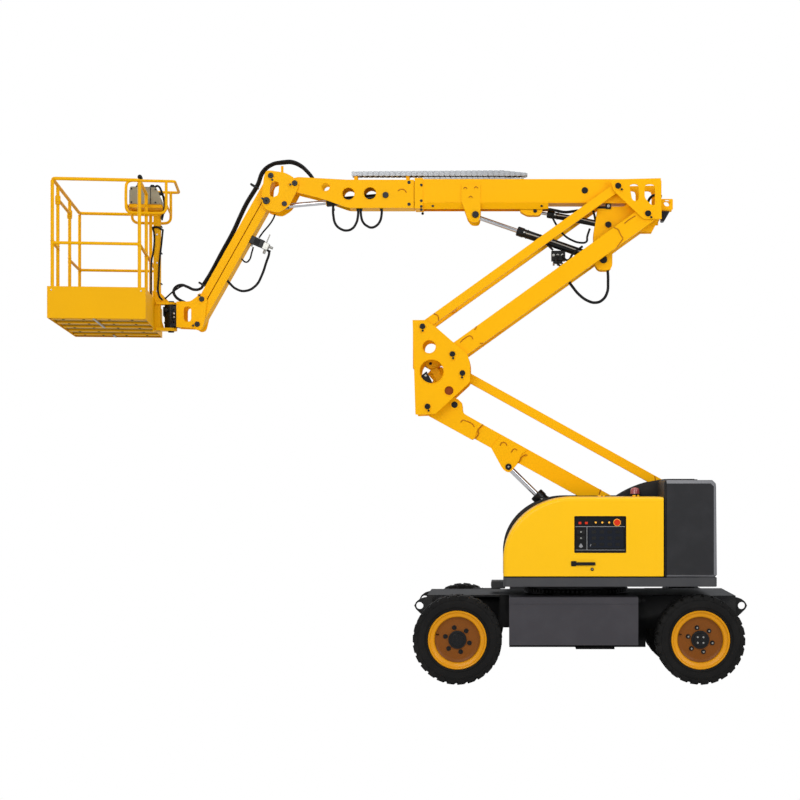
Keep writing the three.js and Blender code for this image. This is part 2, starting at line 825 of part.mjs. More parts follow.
function topUpright() {
  const [px, pz] = boomPivot;
  const [rx, rz] = riserTop;
  const { y0, y1 } = uprightPlate;
  const cheek = outline([
    [px - 64, pz + 55, 20], [px + 359, pz + 65], [px + 366, pz - 277],
    [px + 214, pz - 279, 20], [px - 36, pz - 42, 30],
  ]);
  const slots = [
    outline([
      [px + 93, pz + 16, 30], [px + 172, pz + 16, 30], [px + 172, pz - 126, 35], [px + 120, pz - 126, 30],
    ]),
    outline([
      [px + 223, pz + 15, 30], [px + 309, pz + 15, 30], [px + 309, pz - 161, 35], [px + 280, pz - 161, 15],
      [px + 223, pz - 100, 20],
    ]),
  ];
  const ear = outline([
    [px - 163, pz - 155], [px - 203, pz - 400, 40], [px - 188, pz - 655, 30], [px - 155, pz - 692, 20],
    [px - 63, pz - 692, 20], [px - 41, pz - 657, 20], [px - 41, pz - 545], [px + 190, pz - 367],
    [px + 295, pz - 367], [px + 353, pz - 257], [px + 353, pz - 141], [px + 87, pz - 141],
    [px + 47, pz - 155],
  ]);
  const tailEar = outline([
    [px + 350, pz - 89, 5], [px + 471, pz - 89, 8], [px + 471, pz - 181, 8], [px + 350, pz - 181, 5],
  ]);
  return join(
    cut(platePair(cheek, y0, y1), ...slots.map((s) => plate(s, -y1 - 5, y1 + 5))),
    platePair(ear, 50, 65),
    cut(platePair(tailEar, 50, 65), discY(px + 422, pz - 124, 28, -100, 100)),
    box(px + 353, px + 365, -y0 - 1, y0 + 1, pz - 255, pz + 45),
    box(px + 97, px + 137, -y0 - 1, y0 + 1, pz - 152, pz - 141),
    pin(boomPivot, bigPinRadius, y1 + 8),
    pin([rx, rz], bigPinRadius, y1 + 8),
    pin(mainCylinderBase, pinRadius, 72),
    pin(masterBase, pinRadius - 6, 72),
  );
}

// Cylinder barrel from its base pin to its mouth, and rod from inside it to the eye.
function barrelShape(base, eye, mouth, radius, boreRadius) {
  const line = arm(base, eye);
  const start = line.at(radius * 0.6);
  const end = line.at(mouth);
  const rodRoom = line.at(mouth + 1);
  const inner = line.at(radius * 1.6 + 30);
  const gland = line.at(mouth - 60);
  const spread = Math.min(radius, 40);
  return cut(
    join(
      bar([start[0], 0, start[1]], [end[0], 0, end[1]], radius, 16),
      bar([gland[0], 0, gland[1]], [end[0], 0, end[1]], radius + 5, 16),
      discY(...base, radius * 0.9, -spread, spread),
    ),
    bar([inner[0], 0, inner[1]], [rodRoom[0], 0, rodRoom[1]], radius - 8, 16),
    bore(base, boreRadius),
  );
}

function rodShape(base, eye, inside, radius, eyeRadius, halfWidth, boreRadius) {
  const line = arm(base, eye);
  const start = line.at(inside);
  const piston = line.at(inside + 40);
  const neck = line.at(line.length - eyeRadius * 0.6);
  return cut(
    join(
      bar([start[0], 0, start[1]], [neck[0], 0, neck[1]], radius, 16),
      bar([start[0], 0, start[1]], [piston[0], 0, piston[1]], boreRadius - SEAT, 16),
      discY(...eye, eyeRadius, -halfWidth, halfWidth),
    ),
    discY(...eye, eyeRadius * 0.45, -100, 100, 12),
  );
}

addNode("lower_boom", lowerBoomShape(), paint.yellow);
addNode("lower_link", lowerLinkShape(), paint.yellow);
addNode("timing_link", timingLinkShape(), paint.yellow);
addNode("mid_upright", midUpright(), paint.yellow);
addNode("upper_riser", upperRiser(), paint.yellow);
addNode("upper_link", upperLinkShape(), paint.yellow);
addNode("top_upright", topUpright(), paint.yellow);
addNode(
  "riser_cylinder_barrel",
  barrelShape(riserCylinderBase, riserCylinderEye, 850, 55, pinRadius),
  paint.cylinder,
);
addNode(
  "riser_cylinder_rod",
  rodShape(riserCylinderBase, riserCylinderEye, 420, 25, 34, 28, 47),
  paint.chrome,
);

// ---------------------------------------------------------------- main boom
const [bx, bz] = boomPivot;
const boomX = (dx) => bx + dx;
const boomZ = (dz) => bz + dz;

function mainBoom() {
  const { front, back, below, above, halfWidth: w, wall, collar } = boom;
  const [x0, x1, z0, z1] = [boomX(front), boomX(back), boomZ(-below), boomZ(above)];
  const tube = cut(
    join(
      box(x0, x1, -w, w, z0, z1),
      box(x0, x0 + collar, -w - 8, w + 8, z0 - skirt.drop, z1 + 8),
    ),
    box(x0 - 1, x1 + 1, -w + wall, w - wall, z0 + wall, z1 - wall),
    box(x0 - 1, x0 + collar + 1, -skirt.foot, skirt.foot, z0 - skirt.drop + wall, z0 - 1),
  );
  const slope = [
    [w - 8, z0 + 1], [w, z0 + 1], [skirt.foot + skirt.thickness, z0 - skirt.drop],
    [skirt.foot - 2, z0 - skirt.drop],
  ];
  const mirrored = slope.map(([y, z]) => [-y, z]).reverse();
  const cylinderPlate = outline([
    [bx - 1318, z0 + 20], [bx - 1269, bz - 252, 10], [bx - 1237, bz - 293, 20],
    [bx - 1173, bz - 293, 20], [bx - 1157, bz - 237, 10], [bx - 1157, bz + 25], [bx - 1318, bz + 25],
  ]);
  const masterPlate = outline([
    [bx - 834, z0 + 5], [bx - 820, bz - 195, 10], [bx - 760, bz - 226, 15],
    [bx - 655, bz - 226, 20], [bx - 632, bz - 190, 10], [bx - 632, z0 + 5],
  ]);
  return cut(
    join(
      tube,
      prismX(slope, boomX(skirt.x0) - 1, boomX(skirt.x1)),
      prismX(mirrored, boomX(skirt.x0) - 1, boomX(skirt.x1)),
      platePair(cylinderPlate, w - 1, w + 10),
      discY(...mainCylinderEye, 26, w - 16, w + 18),
      discY(...mainCylinderEye, 26, -w - 18, -w + 16),
      platePair(masterPlate, 36, 48),
    ),
    bore(boomPivot, bigPinRadius),
    discY(...masterEye, 9, -60, 60, 12),
  );
}

function flyBoom() {
  const w = fly.halfWidth;
  const back = boomX(fly.back);
  const headBack = boomX(boom.front) - fly.gap;
  const z0 = boomZ(-boom.below) + boom.wall + fly.play;
  const z1 = boomZ(boom.above) - boom.wall - fly.play;
  const [ex, ez] = elbowPin;
  const plateFoot = boomZ(-170);
  const side = outline([
    [headBack, boomZ(68)], [ex + 439, boomZ(68)], [ex + 20, ez + 57, 15], [ex - 62, ez + 30, 40],
    [ex - 62, ez - 45, 40], [ex + 37, ez - 78, 10], [ex + 233, ez - 127, 60],
    [ex + 443, plateFoot, 30], [headBack, plateFoot],
  ]);
  const holes = [
    discY(ex + 259, ez - 28, 35, -200, 200, 14),
    discY(ex + 450, ez - 85, 53, -200, 200, 16),
    discY(ex + 632, ez - 81, 53, -200, 200, 16),
  ];
  const outer = w + 2 + fly.plate;
  const pad = fly.play - SEAT;
  const tube = cut(
    join(
      box(headBack - 200, back, -w, w, z0, z1),
      box(back - 60, back, -w - pad, w + pad, z0 - pad, z1 + pad),
    ),
    box(headBack - 220, back + 1, -w + fly.wall, w - fly.wall, z0 + fly.wall, z1 - fly.wall),
  );
  const line = arm(slaveBase, slaveEye);
  const [m0, m1] = [line.at(0), line.at(515)];
  const barrel = cut(
    bar([m0[0], 0, m0[1]], [m1[0], 0, m1[1]], 32, 16),
    bar(point3(line.at(150)), point3(line.at(520)), 26, 16),
  );
  return join(
    cut(
      join(
        platePair(side, w + 2, outer),
        box(ex + 330, headBack, -w - 3, w + 3, boomZ(56), boomZ(68)),
        box(ex + 460, headBack, -w - 3, w + 3, plateFoot, plateFoot + 12),
        box(headBack - 14, headBack, -outer, outer, plateFoot, boomZ(68)),
      ),
      ...holes,
      bore(elbowPin, pinRadius),
      box(headBack - 20, headBack + 1, -w + fly.wall, w - fly.wall, z0 + fly.wall, z1 - fly.wall),
    ),
    tube,
    barrel,
    pin(slaveBase, 22, outer + 4),
  );
}

function point3([x, z], y = 0) {
  return [x, y, z];
}

// Cable carrier on the boom's back: the lower run stays, the upper run goes with the fly.
function trackRun(x0, x1, foot, height, taper) {
  const run = outline([
    [x0, foot], [x1, foot], [x1 - taper, foot + height], [x0 + 15, foot + height],
  ]);
  return plate(run, -45, 45);
}

addNode("main_boom", mainBoom(), paint.yellow);
addNode(
  "main_cylinder_barrel",
  barrelShape(mainCylinderBase, mainCylinderEye, 775, 36, pinRadius),
  paint.cylinder,
);
addNode("main_cylinder_rod", rodShape(mainCylinderBase, mainCylinderEye, 420, 19, 34, 30, 28), paint.chrome);
addNode("level_cylinder_barrel", barrelShape(masterBase, masterEye, 527, 27, pinRadius - 6), paint.cylinder);
addNode("level_cylinder_rod", rodShape(masterBase, masterEye, 300, 13, 22, 20, 19), paint.chrome);
addNode("fly_boom", flyBoom(), paint.yellow);
const trackFoot = boomZ(boom.above) + SEAT;
addNode("cable_track_lower", trackRun(boomX(-1640), boomX(-760), trackFoot, 28, 60), paint.track);

function upperTrack() {
  const foot = trackFoot + 28 + RUN;
  const postTop = foot + 4;
  return join(
    trackRun(boomX(-2250), boomX(-800), foot, 28, 90),
    box(boomX(-2230), boomX(-2200), -35, 35, boomZ(68) + SEAT, postTop),
    box(boomX(-1790), boomX(-1760), -35, 35, boomZ(68) + SEAT, postTop),
  );
}
addNode("cable_track_upper", upperTrack(), paint.track);

// ---------------------------------------------------------------- elbow and jib
function jibBracket() {
  const [ex, ez] = elbowPin;
  const { y0, y1 } = bracketPlate;
  const cheek = outline([
    [ex - 245, ez + 108, 30], [ex - 200, ez + 108], [ex - 84, ez + 90, 20], [ex - 14, ez + 55, 30],
    [ex + 38, ez - 5, 40], [ex + 17, ez - 62, 20], [ex - 52, ez - 195, 25], [ex - 136, ez - 250, 30],
    [ex - 240, ez - 225, 20], [ex - 283, ez - 170, 30], [ex - 262, ez + 55, 40],
  ]);
  const slot = outline([
    [ex - 205, ez + 12, 45], [ex - 130, ez + 22, 45], [ex - 140, ez - 110, 45], [ex - 215, ez - 120, 45],
  ]);
  return join(
    cut(platePair(cheek, y0, y1), plate(slot, -y1 - 5, y1 + 5)),
    box(ex - 150, ex - 90, -y0 - 1, y0 + 1, ez + 74, ez + 86),
    box(ex - 132, ex - 112, -6, 6, ez + 80, ez + 186 - hoseRadius.bundle),
    pin(elbowPin, pinRadius, y1 + 6),
    discY(...slaveEye, 24, y0 - 10, y1 + 6),
    discY(...slaveEye, 24, -y1 - 6, -y0 + 10),
    pin(linkTopPin, pinRadius, y1 + 6),
    pin(jibTopPin, bigPinRadius, y1 + 6),
  );
}

function jibMember(top, bottom, topPin) {
  const line = arm(bottom, top);
  const { depth, halfWidth: w, wall } = jib;
  return cut(
    beam(line, depth, -w, w, [pinRadius, topPin]),
    cavity(line, 60, line.length - 60, depth, wall, -w, w),
  );
}

function jibHead() {
  const [hx, hz] = jibBottomPin;
  const { y0, y1 } = headPlate;
  const cheek = outline([
    [hx - 178, hz - 24], [hx - 30, hz - 30, 10], [hx - 5, hz - 53, 15], [hx + 40, hz - 45, 25],
    [hx + 62, hz + 40, 20], [hx + 85, hz + 225, 30], [hx + 30, hz + 262, 30], [hx - 60, hz + 193, 20],
    [hx - 178, hz + 193],
  ]);
  const oval = outline([
    [hx - 116, hz + 152, 28], [hx - 53, hz + 152, 28], [hx - 53, hz + 21, 28], [hx - 116, hz + 21, 28],
  ]);
  return join(
    cut(platePair(cheek, y0, y1), plate(oval, -y1 - 5, y1 + 5)),
    box(hx - 177, hx - 163, -y0 - 3, y0 + 3, hz - 18, hz + 187),
    pin(jibBottomPin, pinRadius, y1 + 6),
    pin(linkBottomPin, pinRadius, y1 + 6),
  );
}

function rotator() {
  const face = jibBottomPin[0] - 177 - SEAT;
  const low = platform.bottom + cageRise + SEAT;
  const high = swingArm + cageRise - SEAT;
  return join(
    discZ(rotatorX, 0, 55, low, high, 24),
    box(rotatorX, face, -48, 48, low + 12, high - 12),
    box(face - 14, face, -80, 80, low + 4, high - 4),
  );
}

addNode("jib_bracket", jibBracket(), paint.yellow);
addNode("jib_level_rod", rodShape(slaveBase, slaveEye, 390, 21, 30, 34, 26), paint.chrome);
addNode("jib_link", jibMember(linkTopPin, linkBottomPin, pinRadius), paint.yellow);
addNode("jib_boom", jibMember(jibTopPin, jibBottomPin, bigPinRadius), paint.yellow);
addNode("jib_head", jibHead(), paint.yellow);
addNode("rotator", rotator(), paint.black);

// ---------------------------------------------------------------- platform
const cage = new THREE.Group();
cage.position.set(rotatorX, 0, cageRise);
cage.rotation.z = (platformYaw * Math.PI) / 180;
machine.add(cage);

function platformBase() {
  const { x0, x1, halfWidth: w, bottom, floorTop, toeTop, sheet } = platform;
  const socket = platform.tube + 1;
  const pan = cut(
    box(x0, x1, -w, w, bottom, toeTop),
    box(x0 + sheet, x1 - sheet, -w + sheet, w - sheet, floorTop, toeTop + 1),
    box(x0 + sheet, x1 - sheet, -w + sheet, w - sheet, bottom - 1, floorTop - sheet),
    ...floorPosts.map(([x, y]) =>
      box(x - socket, x + socket, y - socket, y + socket, floorTop - sheet - 1, floorTop + 1),
    ),
  );
  const ribs = [-760, -380, 0, 380, 760].map((y) =>
    box(x0 + 1, x1 - 1, y - 30, y + 30, bottom, floorTop - sheet + 1),
  );
  const half = mast.size / 2;
  const lowArm = join(
    box(x1 - 170, 0, -half - 5, half + 5, bottom - 26, bottom),
    discZ(0, 0, 52, bottom - 26, bottom, 24),
    box(x1 - 170, x1 + mast.size, -half - 5, half + 5, bottom - 26, bottom + 5),
  );
  const highArm = join(
    box(x1 + 2, 0, -half - 5, half + 5, swingArm, swingArm + 20),
    discZ(0, 0, 52, swingArm, swingArm + 20, 24),
  );
  const gusset = outline([
    [x1 + mast.size - 2, 3146], [x1 + mast.size + 85, 3146], [x1 + mast.size - 2, 3225],
  ]);
  const post = box(x1 - 1, x1 + mast.size, -half, half, bottom - 1, mast.top);
  return join(pan, ...ribs, lowArm, highArm, plate(gusset, -20, 20), post);
}

function guardRail() {
  const { halfWidth, toeTop, floorTop, midRail, topRail, tube: r, sheet, gateY0, gateY1 } = platform;
  const a = frontRailX;
  const b = backRailX;
  const w = halfWidth - r;
  const rail = (p, q) => bar(p, q, r, 8);
  const post = (x, y) => {
    const foot = Math.abs(y) === w ? toeTop + SEAT : floorTop - sheet;
    return bar([x, y, foot], [x, y, topRail], r, 8);
  };
  const bend = (p) => solid(new THREE.SphereGeometry(r, 8, 5).translate(...p));
  const posts = [[a, -w], [a, w], [b, -w], [b, w], ...floorPosts];
  const stop = ([x, y]) => discZ(x, y, 21, gateBarZ - 45, gateBarZ - 25 - SEAT, 12);
  const loop = hoopMaker();
  return join(
    ...posts.map(([x, y]) => post(x, y)),
    ...posts.slice(0, 4).map(([x, y]) => bend([x, y, topRail])),
    rail([a, -w, topRail], [b, -w, topRail]),
    rail([a, w, topRail], [b, w, topRail]),
    rail([a, -w, topRail], [a, w, topRail]),
    rail([b, -w, topRail], [b, -innerPost, topRail]),
    rail([b, innerPost, topRail], [b, w, topRail]),
    rail([a, -w, midRail], [b, -w, midRail]),
    rail([a, w, midRail], [b, w, midRail]),
    rail([b, -w, midRail], [b, w, midRail]),
    rail([a, -w, midRail], [a, gateY0, midRail]),
    rail([a, gateY1, midRail], [a, w, midRail]),
    stop([a, gateY0]),
    stop([a, gateY1]),
    box(guard.x0 + 5, guard.x1 - 5, -guard.y - 5, guard.y + 5, guard.tray - sheet, guard.tray),
    loop(-guard.y),
    loop(guard.y),
    bar([guard.reach, -guard.y, guard.z1], [guard.reach, guard.y, guard.z1], guard.tube, 10),
  );
}

const gateBarZ = 3918;
const frontRailX = platform.x0 + platform.inset;
const backRailX = platform.x1 - platform.inset - 8;
const innerPost = guard.y - 50;
// Posts that pass through the floor; the other four stand on the toe boards.
const floorPosts = [
  [frontRailX, platform.gateY0],
  [frontRailX, platform.gateY1],
  [backRailX, -innerPost],
  [backRailX, innerPost],
];

// Rounded hoop beside the control box, with a nose that reaches past the mast.
function hoopMaker() {
  const { x0, x1, z0, z1, tube, reach } = guard;
  const corner = 70;
  const route = [
    [x0, z1 - corner], [x0, z0 + corner], [x0 + corner * 0.3, z0 + corner * 0.3], [x0 + corner, z0],
    [x1 - corner, z0], [x1 - corner * 0.3, z0 + corner * 0.3], [x1, z0 + corner], [x1, z1 - 5],
  ];
  const crown = [
    [x0, z1 - corner], [x0 + corner * 0.3, z1 - corner * 0.3], [x0 + corner, z1], [reach, z1],
  ];
  const run = (points, y, steps) => hose(points.map(([x, z]) => [x, y, z]), tube, steps, 6, 0.35);
  return (y) => join(run(route, y, 18), run(crown, y, 20));
}

function gateBar() {
  const x = frontRailX;
  const { gateY0: y0, gateY1: y1, tube } = platform;
  const sleeve = (y) => discZ(x, y, 25, gateBarZ - 25, gateBarZ + 25, 16);
  const boreZ = (y) => discZ(x, y, tube + 2, gateBarZ - 60, gateBarZ + 60, 16);
  return cut(
    join(sleeve(y0), sleeve(y1), bar([x, y0, gateBarZ], [x, y1, gateBarZ], 14, 10)),
    boreZ(y0),
    boreZ(y1),
  );
}

function controlBox() {
  const base = guard.tray + SEAT;
  return box(-332, -75, -150, 150, base, base + 146);
}

addNode("platform_base", platformBase(), paint.platform, cage);
addNode("guard_rail", guardRail(), paint.platform, cage);
addNode("gate_bar", gateBar(), paint.platform, cage);
addNode("control_box", controlBox(), paint.controlBox, cage);

// ---------------------------------------------------------------- hoses
const flat = (points, y) => points.map(([x, z]) => [x, y, z]);
const fromElbow = (points) => points.map(([dx, dz]) => shift(elbowPin, [dx, dz]));
const linkLine = arm(linkBottomPin, linkTopPin);
const onLink = (u, lift = 0) =>
  linkLine.at(linkLine.length - u, jib.depth / 2 + hoseRadius.bundle + SEAT + lift);

// The bundle arches from the fly boom's head to a clamp on the bracket, then down the jib.
const bundleTop = [-122, 186 + SEAT + 20 - hoseRadius.bundle];
const flyBundle = fromElbow([[180, 58 + 20], [140, 80], [60, 145], [-40, 195], bundleTop]);
const jibBundle = [
  ...fromElbow([[bundleTop[0] - 3, bundleTop[1]], [-219, 184], [-292, 99], [-335, -5]]),
  onLink(330, 22), onLink(500, 4), onLink(700), onLink(900), onLink(1100),
];
const dangle = (points, y, radius, steps) => hose(flat(fromElbow(points), y), radius, steps);

addNode("elbow_hose", hose(flat(flyBundle, 0), hoseRadius.bundle, 24), paint.hose);
addNode("jib_hose", hose(flat(jibBundle, 0), hoseRadius.bundle, 32), paint.hose);
const outerHead = -(fly.halfWidth + 2 + fly.plate + hoseRadius.line + SEAT);
addNode(
  "fly_hose_front",
  dangle([[314, -140], [320, -262], [425, -358], [517, -277], [524, -186], [524, -140]],
    outerHead, hoseRadius.line, 28),
  paint.hose,
);
addNode(
  "fly_hose_rear",
  dangle([[549, -140], [559, -262], [630, -330], [707, -262], [718, -178], [718, -140]],
    outerHead, hoseRadius.line, 28),
  paint.hose,
);

// ---------------------------------------------------------------- frame of the part
machine.updateMatrixWorld(true);
const bounds = new THREE.Box3().setFromObject(machine, true);
const centre = bounds.getCenter(new THREE.Vector3());
machine.position.set(-centre.x, -centre.y, -bounds.min.z);

export default root;
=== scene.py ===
"""Articulating boom lift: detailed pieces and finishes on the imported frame.

Sizes are millimetres in the machine's own frame: x = 0 on the slewing axis, +X towards the
counterweight, +Y to the machine's right, z = 0 on the ground.
"""

from __future__ import annotations

import json
import logging
import math
from dataclasses import dataclass, field
from enum import Enum
from typing import Callable, Iterable, Sequence

import bmesh
import bpy
from mathutils import Matrix, Vector

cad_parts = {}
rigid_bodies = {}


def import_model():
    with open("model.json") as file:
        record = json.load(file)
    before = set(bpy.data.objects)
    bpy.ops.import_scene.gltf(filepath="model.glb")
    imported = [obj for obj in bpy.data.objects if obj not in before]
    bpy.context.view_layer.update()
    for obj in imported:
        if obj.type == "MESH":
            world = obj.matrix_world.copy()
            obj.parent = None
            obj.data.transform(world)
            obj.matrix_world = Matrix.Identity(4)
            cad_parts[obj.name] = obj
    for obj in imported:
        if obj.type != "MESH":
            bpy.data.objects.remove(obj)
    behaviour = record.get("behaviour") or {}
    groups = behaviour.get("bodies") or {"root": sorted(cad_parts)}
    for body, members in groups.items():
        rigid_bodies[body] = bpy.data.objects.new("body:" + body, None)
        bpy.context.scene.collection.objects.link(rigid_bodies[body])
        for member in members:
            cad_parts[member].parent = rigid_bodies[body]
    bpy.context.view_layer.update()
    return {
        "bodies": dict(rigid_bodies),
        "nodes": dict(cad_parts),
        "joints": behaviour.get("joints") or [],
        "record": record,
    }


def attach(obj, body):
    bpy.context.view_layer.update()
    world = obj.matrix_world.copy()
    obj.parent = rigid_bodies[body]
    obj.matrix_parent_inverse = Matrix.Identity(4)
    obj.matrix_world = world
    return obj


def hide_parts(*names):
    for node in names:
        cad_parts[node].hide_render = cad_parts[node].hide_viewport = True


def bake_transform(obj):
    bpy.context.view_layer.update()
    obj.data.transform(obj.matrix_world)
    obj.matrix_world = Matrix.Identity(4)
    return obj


logging.basicConfig(level=logging.INFO, format="%(levelname)s %(message)s")
LOG = logging.getLogger("boom_lift")

Point = tuple[float, float, float]
Flat = tuple[float, float]
MM = 0.001
CREASE = math.radians(38)
AXLE = 975.0
WHEEL_SIDE = 755
WHEEL_HEIGHT = 357.5


class Side(Enum):
    """Sides of the machine, as the sign of y."""

    LEFT = -1
    RIGHT = 1


class Axis(Enum):
    """Directions a round feature can point along."""

    X = "X"
    Y = "Y"
    Z = "Z"


# ------------------------------------------------------------------ shader graph
class Sock:
    """A shader socket that can be used in arithmetic."""

    def __init__(self, graph: Graph, socket: bpy.types.NodeSocket) -> None:
        """Wraps a socket.

        Args:
            graph: The graph the socket belongs to.
            socket: An output socket.
        """
        self.graph = graph
        self.socket = socket

    def _math(self, operation: str, *inputs: Sock | float) -> Sock:
        """Adds a math node.

        Args:
            operation: Blender's name for what it does.
            inputs: Its inputs.

        Returns:
            The result.
        """
        return self.graph.node("ShaderNodeMath", {"operation": operation}, dict(enumerate(inputs)))

    def __add__(self, other: Sock | float) -> Sock:
        """Returns: The sum."""
        return self._math("ADD", self, other)

    __radd__ = __add__

    def __sub__(self, other: Sock | float) -> Sock:
        """Returns: The difference."""
        return self._math("SUBTRACT", self, other)

    def __rsub__(self, other: float) -> Sock:
        """Returns: The difference."""
        return self._math("SUBTRACT", other, self)

    def __mul__(self, other: Sock | float) -> Sock:
        """Returns: The product."""
        return self._math("MULTIPLY", self, other)

    __rmul__ = __mul__

    def __truediv__(self, other: Sock | float) -> Sock:
        """Returns: The quotient."""
        return self._math("DIVIDE", self, other)

    def __rtruediv__(self, other: float) -> Sock:
        """Returns: The quotient."""
        return self._math("DIVIDE", other, self)

    def __lt__(self, other: Sock | float) -> Sock:
        """Returns: 1 where this value is the lower, or 0."""
        return self._math("LESS_THAN", self, other)

    def __gt__(self, other: Sock | float) -> Sock:
        """Returns: 1 where this value is the higher, or 0."""
        return self._math("GREATER_THAN", self, other)

    def fraction(self) -> Sock:
        """Returns: The part after the decimal point."""
        return self._math("FRACT", self)

    def maximum(self, other: Sock | float) -> Sock:
        """Returns: The larger of two values."""
        return self._math("MAXIMUM", self, other)

    def root(self) -> Sock:
        """Returns: The square root."""
        return self._math("SQRT", self)


class Graph:
    """Node tree of one material."""

    def __init__(self, tree: bpy.types.NodeTree) -> None:
        """Empties a tree and starts a graph in it.

        Args:
            tree: The node tree to fill.
        """
        self.tree = tree
        tree.nodes.clear()

    def node(
        self,
        kind: str,
        settings: dict[str, object] | None = None,
        sockets: dict[object, object] | None = None,
        out: int | str = 0,
    ) -> Sock:
        """Adds a node.

        Args:
            kind: Blender's node type.
            settings: Properties to set on the node.
            sockets: Input values or wrapped sockets, by index or name.
            out: The output to return.

        Returns:
            The chosen output, wrapped.
        """
        made = self.tree.nodes.new(kind)
        for key, value in (settings or {}).items():
            setattr(made, key, value)
        for key, value in (sockets or {}).items():
            if isinstance(value, Sock):
                self.tree.links.new(value.socket, made.inputs[key])
            else:
                made.inputs[key].default_value = value
        return Sock(self, made.outputs[out] if len(made.outputs) else None)

    def object_place(self) -> Sock:
        """Returns: Object coordinates in metres."""
        return self.node("ShaderNodeTexCoord", out="Object")

    def noise(self, scale: float, detail: float = 3.0) -> Sock:
        """Adds a noise field.

        Args:
            scale: Waves in a metre.
            detail: Octaves.

        Returns:
            A value round 0.5.
        """
        where = self.object_place()
        return self.node(
            "ShaderNodeTexNoise", None, {"Vector": where, "Scale": scale, "Detail": detail}, "Fac"
        )

    def mix(self, share: Sock | float, low: object, high: object) -> Sock:
        """Mixes two colours.

        Args:
            share: Share of the second colour.
            low: First colour, or its socket.
            high: Second colour, or its socket.

        Returns:
            The mixed colour.
        """
        return self.node(
            "ShaderNodeMix", {"data_type": "RGBA"}, {0: share, 6: low, 7: high}, 2
        )

    def bump(self, height: Sock, strength: float, distance: float) -> Sock:
        """Turns a height field into a normal.

        Args:
            height: The field.
            strength: Share of the effect.
            distance: Depth in metres.

        Returns:
            The normal.
        """
        return self.node(
            "ShaderNodeBump", None, {"Strength": strength, "Distance": distance, "Height": height},
            "Normal",
        )


def rgba(code: str, gain: float = 1.0) -> tuple[float, float, float, float]:
    """Converts a hex colour to linear light.

    Args:
        code: Six hex digits after a hash.
        gain: Factor on the result.

    Returns:
        Linear red, green, blue and alpha.
    """
    shares = [int(code[i : i + 2], 16) / 255 for i in (1, 3, 5)]
    light = [s / 12.92 if s <= 0.04045 else ((s + 0.055) / 1.055) ** 2.4 for s in shares]
    return tuple(min(1.0, gain * s) for s in light) + (1.0,)


@dataclass(frozen=True)
class Finish:
    """A surface: its colour, how it scatters light and how uneven it is."""

    name: str
    colour: str
    slot: str
    roughness: float = 0.45
    metallic: float = 0.0
    coat: float = 0.0
    shade: float = 0.08
    grain: float = 60.0
    relief: float = 0.0
    glow: float = 0.0
    gloss: float = 0.2

    def build(self) -> bpy.types.Material:
        """Makes the material.

        Returns:
            The material, with colour, roughness and relief that vary over the surface.
        """
        material = bpy.data.materials.new(self.name)
        material.use_nodes = True
        graph = Graph(material.node_tree)
        wide = graph.noise(2.3)
        fine = graph.noise(self.grain, 5.0)
        base = graph.mix(wide * 0.9, rgba(self.colour, 1 - self.shade), rgba(self.colour, 1 + self.shade))
        colour = self.pattern(graph, base)
        rough = self.roughness + (fine - 0.5) * 0.16 + (wide - 0.5) * 0.1
        sockets: dict[object, object] = {
            "Base Color": colour,
            "Roughness": rough,
            "Metallic": self.metallic,
            "Coat Weight": self.coat,
            "Coat Roughness": 0.12,
            "Specular IOR Level": self.gloss,
        }
        if self.relief:
            sockets["Normal"] = graph.bump(fine, 0.5, self.relief)
        if self.glow:
            sockets["Emission Color"] = rgba(self.colour)
            sockets["Emission Strength"] = self.glow
        surface = graph.node("ShaderNodeBsdfPrincipled", None, sockets)
        graph.node("ShaderNodeOutputMaterial", None, {"Surface": surface})
        return material

    def pattern(self, graph: Graph, base: Sock) -> Sock:
        """Adds the finish's own pattern to its colour.

        Args:
            graph: The material's graph.
            base: The plain colour.

        Returns:
            The colour to use.
        """
        return base


@dataclass(frozen=True)
class Weathered(Finish):
    """Dark steel or rubber with pale dust laid over it in noise patches."""

    dust: str = "#6A675F"
    amount: float = 0.25

    def pattern(self, graph: Graph, base: Sock) -> Sock:
        """Lays dust over the colour.

        Args:
            graph: The material's graph.
            base: The plain colour.

        Returns:
            The dusted colour.
        """
        patches = (graph.noise(7.0, 6.0) - 0.45).maximum(0.0) * (2.2 * self.amount)
        return graph.mix(patches, base, rgba(self.dust))


@dataclass(frozen=True)
class Perforated(Finish):
    """Sheet pressed with rows of round holes, shown dark."""

    pitch: float = 0.03

    def pattern(self, graph: Graph, base: Sock) -> Sock:
        """Adds the holes.

        Args:
            graph: The material's graph.
            base: The plain colour.

        Returns:
            The colour with dark holes.
        """
        where = graph.object_place()
        x = graph.node("ShaderNodeSeparateXYZ", None, {0: where}, 0)
        y = graph.node("ShaderNodeSeparateXYZ", None, {0: where}, 1)
        dx = (x / self.pitch).fraction() - 0.5
        dy = (y / self.pitch).fraction() - 0.5
        inside = (dx * dx + dy * dy).root() < 0.3
        return graph.mix(inside, base, rgba("#2A2208"))


